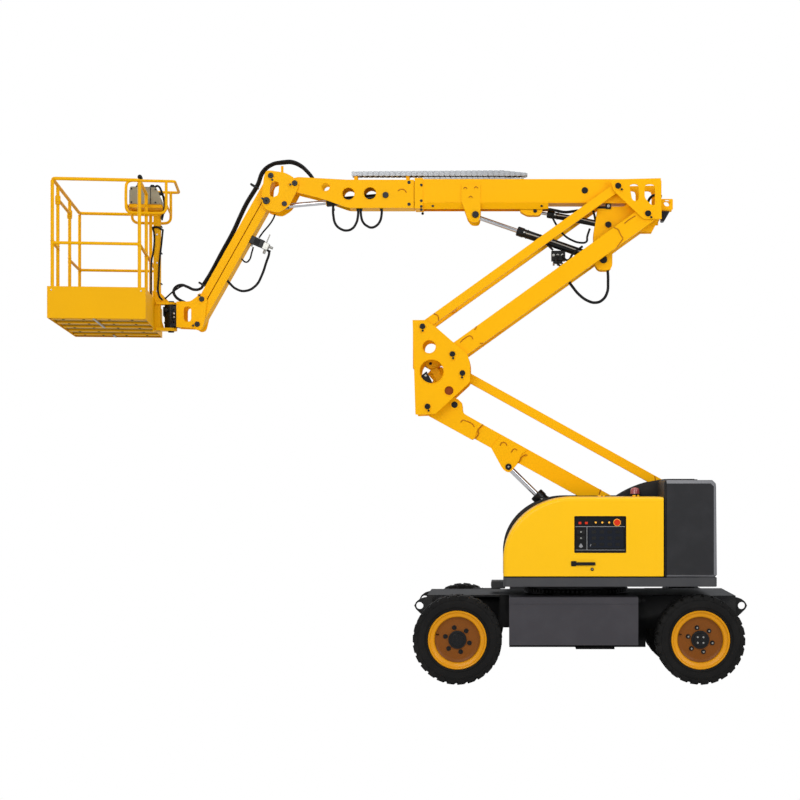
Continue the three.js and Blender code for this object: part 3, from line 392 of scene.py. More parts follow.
BOOM = Finish("boom paint", "#F8B400", "boom_yellow", 0.42, shade=0.04, relief=0.00006, gloss=0.08)
COWL = Finish("cowl paint", "#FBC000", "cowl_yellow", 0.34, coat=0.08, shade=0.025, grain=25)
CAGE = Finish("platform paint", "#EBAC00", "platform_yellow", 0.44, shade=0.05, gloss=0.08)
GRATE = Perforated("platform floor", "#B98A00", "platform_yellow", 0.55)
CHASSIS = Weathered("chassis paint", "#101011", "chassis_black", 0.5, relief=0.0002, amount=0.1)
BOX = Weathered("side box paint", "#3D3B3F", "box_grey", 0.5, relief=0.0001, dust="#5E5C60", amount=0.16)
DECK = Weathered("deck paint", "#424244", "deck_grey", 0.5, relief=0.0001, amount=0.12)
BALLAST = Weathered(
    "ballast paint", "#262628", "ballast_grey", 0.5, relief=0.0003, dust="#48484B", amount=0.2
)
# Lighter grey for the counterweight's rear bevels: a painted highlight on the same dark paint.
BALLAST_BEVEL_HIGHLIGHT = Weathered(
    "ballast edge paint", "#77777A", "ballast_grey", 0.4, relief=0.0003, dust="#8A8A8C", amount=0.2
)
PANEL = Finish("panel plastic", "#0A0A0C", "panel_black", 0.4, shade=0.15)
SCREEN = Finish("screen", "#0E1420", "panel_black", 0.2, coat=0.2, shade=0.2)
DARK = Finish("black steel", "#0B0B0C", "cylinder_black", 0.36, coat=0.1, shade=0.2)
CHROME = Finish("chrome", "#C4C4C6", "rod_chrome", 0.1, 1.0, shade=0.04, gloss=0.5)
ZINC = Finish("zinc", "#A5A49E", "rod_chrome", 0.32, 0.9, shade=0.1, gloss=0.5)
HOSE = Weathered("hose rubber", "#08080A", "hose_rubber", 0.5, relief=0.0003, amount=0.06)
# Darker orange for weld beads, and as painted shade on the gusset inside the mid upright's big hole.
WELD_AND_SHADE = Finish("weld seam", "#B06A00", "boom_yellow", 0.55, shade=0.1)
# Brown standing for shade in a recessed hole: painted shade.
RECESS_SHADE = Finish("recess paint", "#8A3E05", "boom_yellow", 0.6, shade=0.15)
CHAIN = Finish("drag chain", "#9C9FA2", "track_silver", 0.36, 0.5, shade=0.3, gloss=0.5)
CASE = Finish("control case", "#948E78", "case_grey", 0.5, shade=0.06, relief=0.0001)
TYRE = Weathered("tyre rubber", "#0A0908", "tyre_rubber", 0.7, relief=0.0006, dust="#2C2926", amount=0.3)
RIM = Finish("rim paint", "#DB9200", "rim_amber", 0.4, coat=0.1, shade=0.1, relief=0.0002)
# Darker amber for the recessed wheel dish: the rim's paint with painted shade.
RIM_DISH_SHADE = Finish("rim dish paint", "#7C4400", "rim_amber", 0.45, coat=0.05, shade=0.18, relief=0.0002)
BATTERY = Finish("battery case", "#1B1D21", "battery_black", 0.6, shade=0.1)
RED = Finish("stop red", "#D8300C", "panel_black", 0.3, coat=0.2)
WHITE = Finish("label white", "#8E8E90", "panel_black", 0.5)
# Glowing amber for the ground panel's indicator discs and, as painted glow, for the stop button's ring.
AMBER_GLOW = Finish("amber lamp", "#FFB43A", "panel_black", 0.3, coat=0.3, glow=0.3)
ROSE = Finish("beacon lens", "#9C4A52", "panel_black", 0.15, coat=0.6, shade=0.2, gloss=0.5)


# ------------------------------------------------------------------ shape building
@dataclass
class Studio:
    """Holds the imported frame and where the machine's own axes lie in it."""

    frame: dict
    origin: Vector = field(default_factory=Vector)
    materials: dict[str, bpy.types.Material] = field(default_factory=dict)

    def __post_init__(self) -> None:
        """Finds the slew axis."""
        joints = {j["name"]: j for j in self.frame["joints"]}
        slew = Vector(joints["slew"]["pos_m"])
        self.origin = Vector((slew.x, slew.y, 0.0))

    def world(self) -> Matrix:
        """Returns: The matrix from machine millimetres to the row frame."""
        return Matrix.Translation(self.origin) @ Matrix.Scale(MM, 4)

    def point(self, place: Point) -> Vector:
        """Converts a machine point.

        Args:
            place: Millimetres.

        Returns:
            The same point in the row frame.
        """
        return self.world() @ Vector(place)

    def material(self, finish: Finish) -> bpy.types.Material:
        """Returns: The finish's material, made once.

        Args:
            finish: The finish.
        """
        if finish.name not in self.materials:
            self.materials[finish.name] = finish.build()
        return self.materials[finish.name]


def turned(axis: Axis) -> Matrix:
    """Returns: The rotation that lays +Z along an axis.

    Args:
        axis: The wanted direction.
    """
    if axis is Axis.X:
        return Matrix.Rotation(math.pi / 2, 4, "Y")
    if axis is Axis.Y:
        return Matrix.Rotation(-math.pi / 2, 4, "X")
    return Matrix.Identity(4)


def edges_of(verts: Iterable[bmesh.types.BMVert]) -> list[bmesh.types.BMEdge]:
    """Lists the edges at some vertices, in the same order on every run.

    Args:
        verts: The vertices.

    Returns:
        Their edges, each once.
    """
    return list(dict.fromkeys(e for v in verts for e in v.link_edges))


def faces_of(verts: Iterable[bmesh.types.BMVert]) -> list[bmesh.types.BMFace]:
    """Lists the faces at some vertices, in the same order on every run.

    Args:
        verts: The vertices.

    Returns:
        Their faces, each once.
    """
    return list(dict.fromkeys(f for v in verts for f in v.link_faces))


class Sculpt:
    """One visible piece, built up from operators in machine millimetres."""

    def __init__(self, studio: Studio, name: str, finish: Finish) -> None:
        """Starts an empty piece.

        Args:
            studio: Where it is made.
            name: Its name.
            finish: Its main finish.
        """
        self.studio = studio
        self.name = name
        self.finishes = [finish]
        self.bm = bmesh.new()
        self.local = Matrix.Identity(4)

    def finish_index(self, finish: Finish | None) -> int:
        """Returns: The finish's place in the piece's list.

        Args:
            finish: Finish, or none for the piece's own.
        """
        if finish is None:
            return 0
        if finish not in self.finishes:
            self.finishes.append(finish)
        return self.finishes.index(finish)

    def _settle(self, before: set, finish: Finish | None, matrix: Matrix | None = None) -> list:
        """Moves new vertices to their place and gives their faces a finish.

        Args:
            before: The vertices that were there before.
            finish: Finish, or the piece's own.
            matrix: Placement within the piece.

        Returns:
            The new vertices.
        """
        verts = [v for v in self.bm.verts if v not in before]
        place = self.local @ matrix if matrix is not None else self.local
        bmesh.ops.transform(self.bm, matrix=place, verts=verts)
        index = self.finish_index(finish)
        for face in faces_of(verts):
            face.material_index = index
        return verts

    def box(
        self, low: Point, high: Point, bevel: float = 2.0, finish: Finish | None = None,
        turn: Matrix | None = None, segments: int = 2,
    ) -> Sculpt:
        """Adds a block with softened edges.

        Args:
            low: Lowest corner.
            high: Highest corner.
            bevel: Edge softening.
            finish: Finish, or the piece's own.
            turn: Placement applied after the block is made.
            segments: Steps round each edge.

        Returns:
            The piece.
        """
        before = set(self.bm.verts)
        made = bmesh.ops.create_cube(self.bm, size=1.0)["verts"]
        size = [abs(h - l) for l, h in zip(low, high)]
        middle = [(h + l) / 2 for l, h in zip(low, high)]
        bmesh.ops.scale(self.bm, vec=size, verts=made)
        bmesh.ops.translate(self.bm, vec=middle, verts=made)
        self._bevel(edges_of(made), min(bevel, min(size) * 0.45), segments)
        self._settle(before, finish, turn)
        return self

    def _bevel(self, edges: Iterable, width: float, segments: int) -> None:
        """Softens edges.

        Args:
            edges: The edges.
            width: Width of the bevel.
            segments: Steps round each edge.
        """
        if width > 0:
            bmesh.ops.bevel(
                self.bm, geom=list(edges), offset=width, offset_type="OFFSET", affect="EDGES",
                segments=segments, profile=0.5, material=-1, clamp_overlap=True,
            )

    def disc(
        self, centre: Point, radius: float, half: float, axis: Axis = Axis.Y, bevel: float = 1.5,
        finish: Finish | None = None, sides: int = 32, top: float | None = None,
    ) -> Sculpt:
        """Adds a round boss, cap, bolt head (6 sides) or cone.

        Args:
            centre: Its middle.
            radius: Radius at the lower end.
            half: Half its thickness.
            axis: Direction of its axis.
            bevel: Softening of both rims.
            finish: Finish, or the piece's own.
            sides: Number of sides.
            top: Radius at the upper end, if it differs.

        Returns:
            The piece.
        """
        before = set(self.bm.verts)
        made = bmesh.ops.create_cone(
            self.bm, cap_ends=True, segments=sides, radius1=radius,
            radius2=radius if top is None else top, depth=2 * half,
        )["verts"]
        rims = [e for e in edges_of(made) if abs(e.verts[0].co.z - e.verts[1].co.z) < 1e-6]
        self._bevel(rims, min(bevel, half * 0.9, radius * 0.4), 2)
        self._settle(before, finish, Matrix.Translation(centre) @ turned(axis))
        return self

    def dome(self, centre: Point, radius: float, finish: Finish | None = None, flat: float = 1.0) -> Sculpt:
        """Adds a ball or a flattened ball.

        Args:
            centre: Its middle.
            radius: Its radius.
            finish: Finish, or the piece's own.
            flat: Height as a share of its width.

        Returns:
            The piece.
        """
        before = set(self.bm.verts)
        bmesh.ops.create_uvsphere(self.bm, u_segments=20, v_segments=12, radius=radius)
        self._settle(before, finish, Matrix.Translation(centre) @ Matrix.Diagonal((1, 1, flat, 1)))
        return self

    def prism(
        self, points: Sequence[Flat], low: float, high: float, bevel: float = 2.0,
        finish: Finish | None = None, axis: Axis = Axis.Y, segments: int = 2,
    ) -> Sculpt:
        """Adds a flat shape pushed along an axis.

        Args:
            points: Its outline: x and z along Y, y and z along X, x and y along Z.
            low: Where it starts along the axis.
            high: Where it ends.
            bevel: Edge softening.
            finish: Finish, or the piece's own.
            axis: The direction of the push.
            segments: Steps round each edge.

        Returns:
            The piece.
        """
        before = set(self.bm.verts)
        place: dict[Axis, Callable[[float, float, float], Point]] = {
            Axis.X: lambda a, b, c: (c, a, b),
            Axis.Y: lambda a, b, c: (a, c, b),
            Axis.Z: lambda a, b, c: (a, b, c),
        }
        ring = [self.bm.verts.new(place[axis](a, b, low)) for a, b in points]
        face = bmesh.ops.contextual_create(self.bm, geom=ring)["faces"]
        made = bmesh.ops.extrude_face_region(self.bm, geom=face)["geom"]
        push = Vector(place[axis](0.0, 0.0, high - low))
        bmesh.ops.translate(self.bm, vec=push, verts=[g for g in made if isinstance(g, bmesh.types.BMVert)])
        new = [v for v in self.bm.verts if v not in before]
        bmesh.ops.recalc_face_normals(self.bm, faces=faces_of(new))
        edges = [
            e for e in edges_of(new)
            if len(e.link_faces) == 2 and e.calc_face_angle(0.0) > math.radians(30)
        ]
        self._bevel(edges, bevel, segments)
        self._settle(before, finish)
        return self

    def spin(
        self, profile: Sequence[Flat], centre: Point, axis: Axis = Axis.Y, steps: int = 64,
        finish: Finish | None = None, closed: bool = False,
    ) -> Sculpt:
        """Turns a profile of (radius, position along the axis) points about an axis.

        Args:
            profile: The points, in order.
            centre: A point on the axis.
            axis: The axis.
            steps: Steps round.
            finish: Finish, or the piece's own.
            closed: Joins the last point to the first.

        Returns:
            The piece.
        """
        before = set(self.bm.verts)
        line = [self.bm.verts.new((r, 0.0, a)) for r, a in profile]
        runs = list(zip(line, line[1:])) + ([(line[-1], line[0])] if closed else [])
        edges = [self.bm.edges.new(run) for run in runs]
        bmesh.ops.spin(
            self.bm, geom=line + edges, cent=(0, 0, 0), axis=(0, 0, 1), angle=math.tau, steps=steps
        )
        new = [v for v in self.bm.verts if v not in before]
        bmesh.ops.remove_doubles(self.bm, verts=new, dist=0.01)
        new = [v for v in self.bm.verts if v not in before]
        bmesh.ops.recalc_face_normals(self.bm, faces=faces_of(new))
        self._settle(before, finish, Matrix.Translation(centre) @ turned(axis))
        return self

    def tube(
        self, points: Sequence[Point], radius: float, finish: Finish | None = None,
        corner: float | None = None, closed: bool = False, resolution: int = 6,
    ) -> Sculpt:
        """Adds a round tube or hose through points.

        Args:
            points: Its centreline.
            radius: Its radius.
            finish: Finish, or the piece's own.
            corner: Bend radius between straight runs; without it the tube flows smoothly.
            closed: Joins its ends.
            resolution: Steps in each bend.

        Returns:
            The piece.
        """
        before = set(self.bm.verts)
        curve = bpy.data.curves.new(self.name, "CURVE")
        curve.dimensions = "3D"
        curve.bevel_depth = radius
        curve.bevel_resolution = 3
        curve.resolution_u = resolution
        curve.use_fill_caps = True
        route = rounded(points, corner, closed) if corner else list(points)
        spline = curve.splines.new("BEZIER" if not corner else "POLY")
        knots = spline.bezier_points if not corner else spline.points
        knots.add(len(route) - 1)
        for knot, place in zip(knots, route):
            if corner:
                knot.co = (*place, 1.0)
            else:
                knot.co = place
                knot.handle_left_type = knot.handle_right_type = "AUTO"
        spline.use_cyclic_u = closed
        holder = bpy.data.objects.new(self.name.replace(" ", "_"), curve)
        mesh = holder.to_mesh()
        self.bm.from_mesh(mesh)
        holder.to_mesh_clear()
        bpy.data.objects.remove(holder)
        bpy.data.curves.remove(curve)
        self._settle(before, finish)
        return self

    def node(self, name: str, finish: Finish | None = None, bevel: float = 2.5) -> Sculpt:
        """Takes over the shape of a CAD node and softens its edges.

        Args:
            name: The node.
            finish: Finish, or the piece's own.
            bevel: Edge softening.

        Returns:
            The piece.
        """
        before = set(self.bm.verts)
        self.bm.from_mesh(self.studio.frame["nodes"][name].data)
        new = [v for v in self.bm.verts if v not in before]
        bmesh.ops.transform(self.bm, matrix=self.studio.world().inverted(), verts=new)
        bmesh.ops.remove_doubles(self.bm, verts=new, dist=0.05)
        new = [v for v in self.bm.verts if v not in before]
        edges = edges_of(new)
        bmesh.ops.dissolve_limit(
            self.bm, angle_limit=math.radians(0.5), verts=new, edges=edges, use_dissolve_boundaries=False
        )
        new = [v for v in self.bm.verts if v not in before]
        sharp = [
            e for e in edges_of(new)
            if len(e.link_faces) == 2 and e.calc_face_angle(0.0) > math.radians(50)
        ]
        self._bevel(sharp, bevel, 1)
        self._settle(before, finish, self.local.inverted())
        return self

    def bolts(
        self, places: Iterable[Point], radius: float, height: float, axis: Axis = Axis.Y,
        finish: Finish | None = None,
    ) -> Sculpt:
        """Adds hexagonal bolt heads on washers.

        Args:
            places: Their feet.
            radius: Radius across the corners.
            height: Height of a head.
            axis: Direction of their axes.
            finish: Finish, or the piece's own.

        Returns:
            The piece.
        """
        for place in places:
            self.disc(place, radius * 1.45, height * 0.35, axis, 0.5, finish, 16)
            self.disc(place, radius, height, axis, 1.0, finish, 6)
        return self

    def done(self, body: str, *replaced: str) -> bpy.types.Object:
        """Finishes the piece and hangs it on a body.

        Args:
            body: The CAD body it moves with.
            replaced: CAD nodes it stands for.

        Returns:
            The object.
        """
        bmesh.ops.transform(self.bm, matrix=self.studio.world(), verts=self.bm.verts)
        mesh = bpy.data.meshes.new(self.name)
        for face in self.bm.faces:
            face.smooth = True
        self.bm.to_mesh(mesh)
        self.bm.free()
        mesh.set_sharp_from_angle(angle=CREASE)
        for finish in self.finishes:
            mesh.materials.append(self.studio.material(finish))
        made = bpy.data.objects.new(self.name.replace(" ", "_"), mesh)
        bpy.context.scene.collection.objects.link(made)
        if replaced:
            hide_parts(*replaced)
        if body:
            flat = made.modifiers.new("flat faces", "WEIGHTED_NORMAL")
            flat.keep_sharp = True
            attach(made, body)
        LOG.info("%s on %s: %d faces", self.name, body or "a joint", len(mesh.polygons))
        return made


def rounded(points: Sequence[Point], radius: float, closed: bool = False) -> list[Point]:
    """Rounds the corners of a route.

    Args:
        points: The corners.
        radius: Bend radius.
        closed: Whether the ends meet.

    Returns:
        The route with arcs in place of corners.
    """
    route: list[Point] = []
    count = len(points)
    for i, place in enumerate(points):
        here = Vector(place)
        if not closed and i in (0, count - 1):
            route.append(tuple(here))
            continue
        back = Vector(points[i - 1]) - here
        ahead = Vector(points[(i + 1) % count]) - here
        reach = min(radius, back.length * 0.48, ahead.length * 0.48)
        start, end = here + back.normalized() * reach, here + ahead.normalized() * reach
        for step in range(7):
            t = step / 6
            route.append(tuple(start * (1 - t) ** 2 + here * (2 * t * (1 - t)) + end * t**2))
    return route


# ------------------------------------------------------------------ places of the linkage
@dataclass(frozen=True)
class Linkage:
    """Pins of the riser, boom and jib as (x, z) in the working plane."""

    boom_foot: Flat = (521.0, 1277.0)
    link_foot: Flat = (814.0, 1557.0)
    d: Flat = (-1246.6, 2256.8)
    c: Flat = (-953.6, 2536.8)
    b: Flat = (-1037.6, 2696.8)
    a: Flat = (-1288.6, 2928.8)
    riser_top: Flat = (603.6, 3876.1)
    boom: Flat = (352.6, 4108.1)
    timing_low: Flat = (-1023.6, 2275.8)
    timing_high: Flat = (-1228.6, 2626.8)
    riser_base: Flat = (272.0, 928.0)
    riser_eye: Flat = (-567.6, 1750.8)
    main_base: Flat = (235.6, 3505.1)
    main_eye: Flat = (-846.4, 3879.1)
    level_base: Flat = (276.6, 3801.1)
    level_eye: Flat = (-342.4, 3920.1)
    elbow: Flat = (-2369.4, 4142.1)
    slave_eye: Flat = (-2456.4, 3969.1)
    slave_base: Flat = (-1605.4, 4046.1)
    jib_top: Flat = (-2608.4, 3994.1)
    jib_foot: Flat = (-3194.4, 2955.1)
    link_top: Flat = (-2571.4, 4206.1)
    link_bottom: Flat = (-3157.4, 3167.1)
    rotator: float = -3435.4


PINS = Linkage()
CAGE_TURN = math.radians(7.4)


def cage_frame() -> Matrix:
    """Returns: The matrix from the platform's own millimetres to the machine's."""
    return Matrix.Translation((PINS.rotator, 0, 0)) @ Matrix.Rotation(CAGE_TURN, 4, "Z")


def run_frame(start: Flat, end: Flat, y: float = 0.0) -> Matrix:
    """Returns: A frame whose +Z runs from start to end in the working plane.

    Args:
        start: Its origin.
        end: The point it looks at.
        y: Distance from the working plane.
    """
    way = Vector((end[0] - start[0], 0, end[1] - start[1]))
    turn = way.to_track_quat("Z", "Y").to_matrix().to_4x4()
    return Matrix.Translation((start[0], y, start[1])) @ turn


def on_arm(p: Flat, q: Flat, u: float, v: float) -> Flat:
    """Places a point by distance along an arm and height above it.

    Args:
        p: The arm's first pin.
        q: Its second pin.
        u: Distance from the first pin.
        v: Distance above the arm's line.

    Returns:
        The point.
    """
    length = math.hypot(q[0] - p[0], q[1] - p[1])
    ux, uz = (q[0] - p[0]) / length, (q[1] - p[1]) / length
    up = 1 if ux >= 0 else -1
    return (p[0] + u * ux - up * v * uz, p[1] + u * uz + up * v * ux)


def pin_heads(
    piece: Sculpt, place: Flat, face: float, radius: float, keeper: float, reach: float = 36
) -> None:
    """Adds a pin's two ends with their keeper plates.

    Args:
        piece: The piece the pin is on.
        place: The pin's axis.
        face: Distance of the plate's face from the working plane.
        radius: Radius of the pin.
        keeper: Direction of the keeper plate, in degrees above +X.
        reach: Distance from the pin to the keeper's bolt.
    """
    way = math.radians(keeper)
    for side in Side:
        s = side.value
        piece.disc((place[0], s * (face + 6), place[1]), radius, 7, Axis.Y, 3, DARK, 28)
        piece.disc((place[0], s * (face + 1), place[1]), radius + 9, 3, Axis.Y, 1.5, BOOM, 28)
        piece.disc((place[0], s * (face + 12), place[1]), radius * 0.3, 3, Axis.Y, 1, CHASSIS, 12)
        x, z = place[0] + reach * math.cos(way), place[1] + reach * math.sin(way)
        turn = Matrix.Translation((x, 0, z)) @ Matrix.Rotation(-way, 4, "Y")
        piece.box((-reach * 0.55, s * face, -15), (15, s * (face + 7), 15), 2, BOOM, turn)
        piece.disc((x, s * (face + 10), z), 10, 5, Axis.Y, 1, DARK, 6)


def around(count: int, radius: float, turn: float = 0.0) -> list[Flat]:
    """Spreads points evenly round a circle.

    Args:
        count: Number of points.
        radius: Radius of the circle.
        turn: Place of the first point, in steps.

    Returns:
        The points, from the circle's centre.
    """
    angles = [math.tau * (i + turn) / count for i in range(count)]
    return [(radius * math.cos(a), radius * math.sin(a)) for a in angles]


def hoop(piece: Sculpt, centre: Flat, y: float, radius: float, steps: int) -> None:
    """Adds the thin rim of a round cutout.

    Args:
        piece: The piece with the cutout.
        centre: Its centre in the working plane.
        y: Distance of the rim from the working plane.
        radius: Radius of the cutout.
        steps: Steps round.
    """
    ring = [(centre[0] + x, y, centre[1] + z) for x, z in around(steps, radius)]
    piece.tube(ring, 3, closed=True, resolution=1)


def weld(piece: Sculpt, places: Sequence[Flat], face: float, radius: float = 4.5) -> None:
    """Adds a weld bead on both sides of an arm.

    Args:
        piece: The welded piece.
        places: Corners of the bead.
        face: Distance of the face from the working plane.
        radius: Radius of the bead.
    """
    for side in Side:
        route = [(x, side.value * face, z) for x, z in places]
        piece.tube(route, radius, WELD_AND_SHADE, corner=14)


# ------------------------------------------------------------------ chassis and wheels
@dataclass
class Wheel:
    """A wheel with a foam-filled lugged tyre."""

    studio: Studio
    end: str
    side: Side
    lugs: int = 26
    x: float = field(init=False)

    def __post_init__(self) -> None:
        """Places the axle."""
        self.x = -AXLE if self.end == "front" else AXLE

    def placed(self) -> Matrix:
        """Returns: The frame at the wheel's centre whose +Y points outwards."""
        turn = Matrix.Rotation(0 if self.side is Side.RIGHT else math.pi, 4, "Z")
        return Matrix.Translation((self.x, self.side.value * WHEEL_SIDE, WHEEL_HEIGHT)) @ turn

    def build(self) -> None:
        """Makes the tyre and the rim."""
        word = f"{self.end}_{self.side.name.lower()}"
        body = f"wheel_{word}"
        tyre = Sculpt(self.studio, f"tyre {word}", TYRE)
        tyre.local = self.placed()
        wall = [
            (237, 100), (240, 108), (252, 112), (256, 109), (262, 112), (266, 116), (296, 119.5),
            (312, 118), (316, 115), (322, 117), (337, 113), (346, 104), (348, 60),
        ]
        back = [(r, -a) for r, a in reversed(wall)]
        tyre.spin(wall + [(349, 0)] + back, (0, 0, 0), Axis.Y, 72, closed=True)
        for i in range(self.lugs * 2):
            sign = 1 if i % 2 else -1
            turn = Matrix.Rotation(math.tau * i / (self.lugs * 2), 4, "Y")
            tread = turn @ Matrix.Rotation(sign * 0.12, 4, "Z")
            tyre.box((-31, sign * 6, 338), (31, sign * 112, 357), 5, None, tread)
            shoulder = turn @ Matrix.Rotation(sign * 0.06, 4, "Z")
            tyre.box((-29, sign * 98, 318), (29, sign * 119.6, 351), 6, None, shoulder)
        tyre.done(body, f"tyre_{word}")
        rim = Sculpt(self.studio, f"rim {word}", RIM)
        rim.local = self.placed()
        lip = [
            (235.5, 104), (230, 108), (223, 106), (219, 98), (214, 92), (196, 88), (188, 84),
            (183, 74), (181, 44), (206, 40), (206, -104), (235.5, -104),
        ]
        rim.spin(lip, (0, 0, 0), Axis.Y, 72, closed=True)
        dish = [(182, 66), (168, 58), (150, 55), (122, 60), (66, 60), (66, 46), (182, 46)]
        # The dish takes the darker amber as painted shade in the rim's recess.
        rim.spin(dish, (0, 0, 0), Axis.Y, 72, RIM_DISH_SHADE, closed=True)
        rim.disc((0, 66, 0), 73, 10, Axis.Y, 4, DARK, 40)
        rim.disc((0, 82, 0), 52, 9, Axis.Y, 4, DARK, 40)
        self._hub(rim)
        for x, z in around(6, 100, 0.25):
            rim.disc((x, 62, z), 19, 3, Axis.Y, 1, DARK, 20)
            rim.disc((x, 68, z), 14, 8, Axis.Y, 2, DARK, 6)
            rim.disc((x, 80, z), 7, 7, Axis.Y, 1, ZINC if self.end == "rear" else DARK, 12)
        rim.tube([(150, 56, 40), (160, 74, 43), (172, 88, 46)], 4, DARK)
        rim.done(body, f"rim_{word}")

    def _hub(self, rim: Sculpt) -> None:
        """Adds the bolts and the cap at the hub.

        Args:
            rim: The rim.
        """
        count, finish = (4, ZINC) if self.end == "rear" else (5, DARK)
        reach = 32 if self.end == "rear" else 34
        for x, z in around(count, reach, 0.5):
            rim.disc((x, 93, z), 8.5, 4, Axis.Y, 1.5, finish, 6)
        rim.disc((0, 93, 0), 15, 4, Axis.Y, 2, DARK, 24)


@dataclass
class Chassis:
    """The frame, its side boxes and both axles."""

    studio: Studio

    def build(self) -> None:
        """Makes the chassis pieces."""
        shell = Sculpt(self.studio, "chassis", CHASSIS)
        shell.node("chassis_frame", bevel=5).node("front_axle", bevel=3).node("rear_axle", bevel=4)
        for side in Side:
            s = side.value
            shell.bolts([(x, s * 414, 655) for x in (-1180, -1090, 1130, 1220)], 11, 7, Axis.Y)
            shell.bolts([(x, s * 501, 650) for x in (-530, 510, 545)], 11, 7, Axis.Y)
            for x in (-880, 620):
                shell.box((x, s * 400, 676), (x + 240, s * 470, 694), 3)
            self._motor(shell, s)
        shell.bolts([(x, -152, 232) for x in (20, 305)], 8, 5, Axis.Y)
        shell.box((-1252, -330, 470), (-1238, 330, 640), 6)
        shell.box((1298, -330, 470), (1312, 330, 640), 6)
        self._slew_gear(shell)
        shell.done("chassis", "chassis_frame", "front_axle", "rear_axle")
        for side in Side:
            self._side_box(side)
            self._knuckle(side)
        rod = Sculpt(self.studio, "tie rod", CHASSIS)
        rod.node("tie_rod", bevel=2)
        rod.disc((-795, 0, 329.2), 17, 40, Axis.Y, 3)
        rod.done("tie_rod", "tie_rod")

    def _motor(self, shell: Sculpt, s: int) -> None:
        """Adds a drive motor with its bolts and hose.

        Args:
            shell: The chassis.
            s: Side of the machine, -1 or 1.
        """
        shell.disc((AXLE, s * 600, WHEEL_HEIGHT), 104, 22, Axis.Y, 5)
        shell.disc((AXLE, s * 652, WHEEL_HEIGHT), 96, 14, Axis.Y, 4)
        for x, z in around(10, 88):
            shell.disc((AXLE + x, s * 577, WHEEL_HEIGHT + z), 7, 6, Axis.Y, 1, ZINC, 6)
        shell.tube([(975, s * 520, 430), (930, s * 480, 470), (860, s * 430, 520)], 11, HOSE)

    def _slew_gear(self, shell: Sculpt) -> None:
        """Adds the teeth of the slewing ring.

        Args:
            shell: The chassis.
        """
        for i in range(72):
            turn = Matrix.Rotation(math.tau * i / 72, 4, "Z")
            shell.box((414, -10, 702), (436, 10, 728), 2, DARK, turn, 1)

    def _side_box(self, side: Side) -> None:
        """Makes a side box.

        Args:
            side: Side of the machine.
        """
        word = side.name.lower()
        s = side.value
        piece = Sculpt(self.studio, f"side box {word}", BOX)
        piece.node(f"side_box_{word}", bevel=9)
        piece.box((-556, s * 823, 640), (474, s * 827.5, 646), 1)
        piece.done("chassis", f"side_box_{word}")

    def _knuckle(self, side: Side) -> None:
        """Makes a steering knuckle.

        Args:
            side: Side of the machine.
        """
        word = side.name.lower()
        s = side.value
        piece = Sculpt(self.studio, f"knuckle {word}", CHASSIS)
        piece.node(f"steering_knuckle_{word}", bevel=4)
        piece.disc((-795, s * 620, 362), 12, 14, Axis.Z, 2, ZINC, 6)
        piece.done(f"steer_{word}", f"steering_knuckle_{word}")


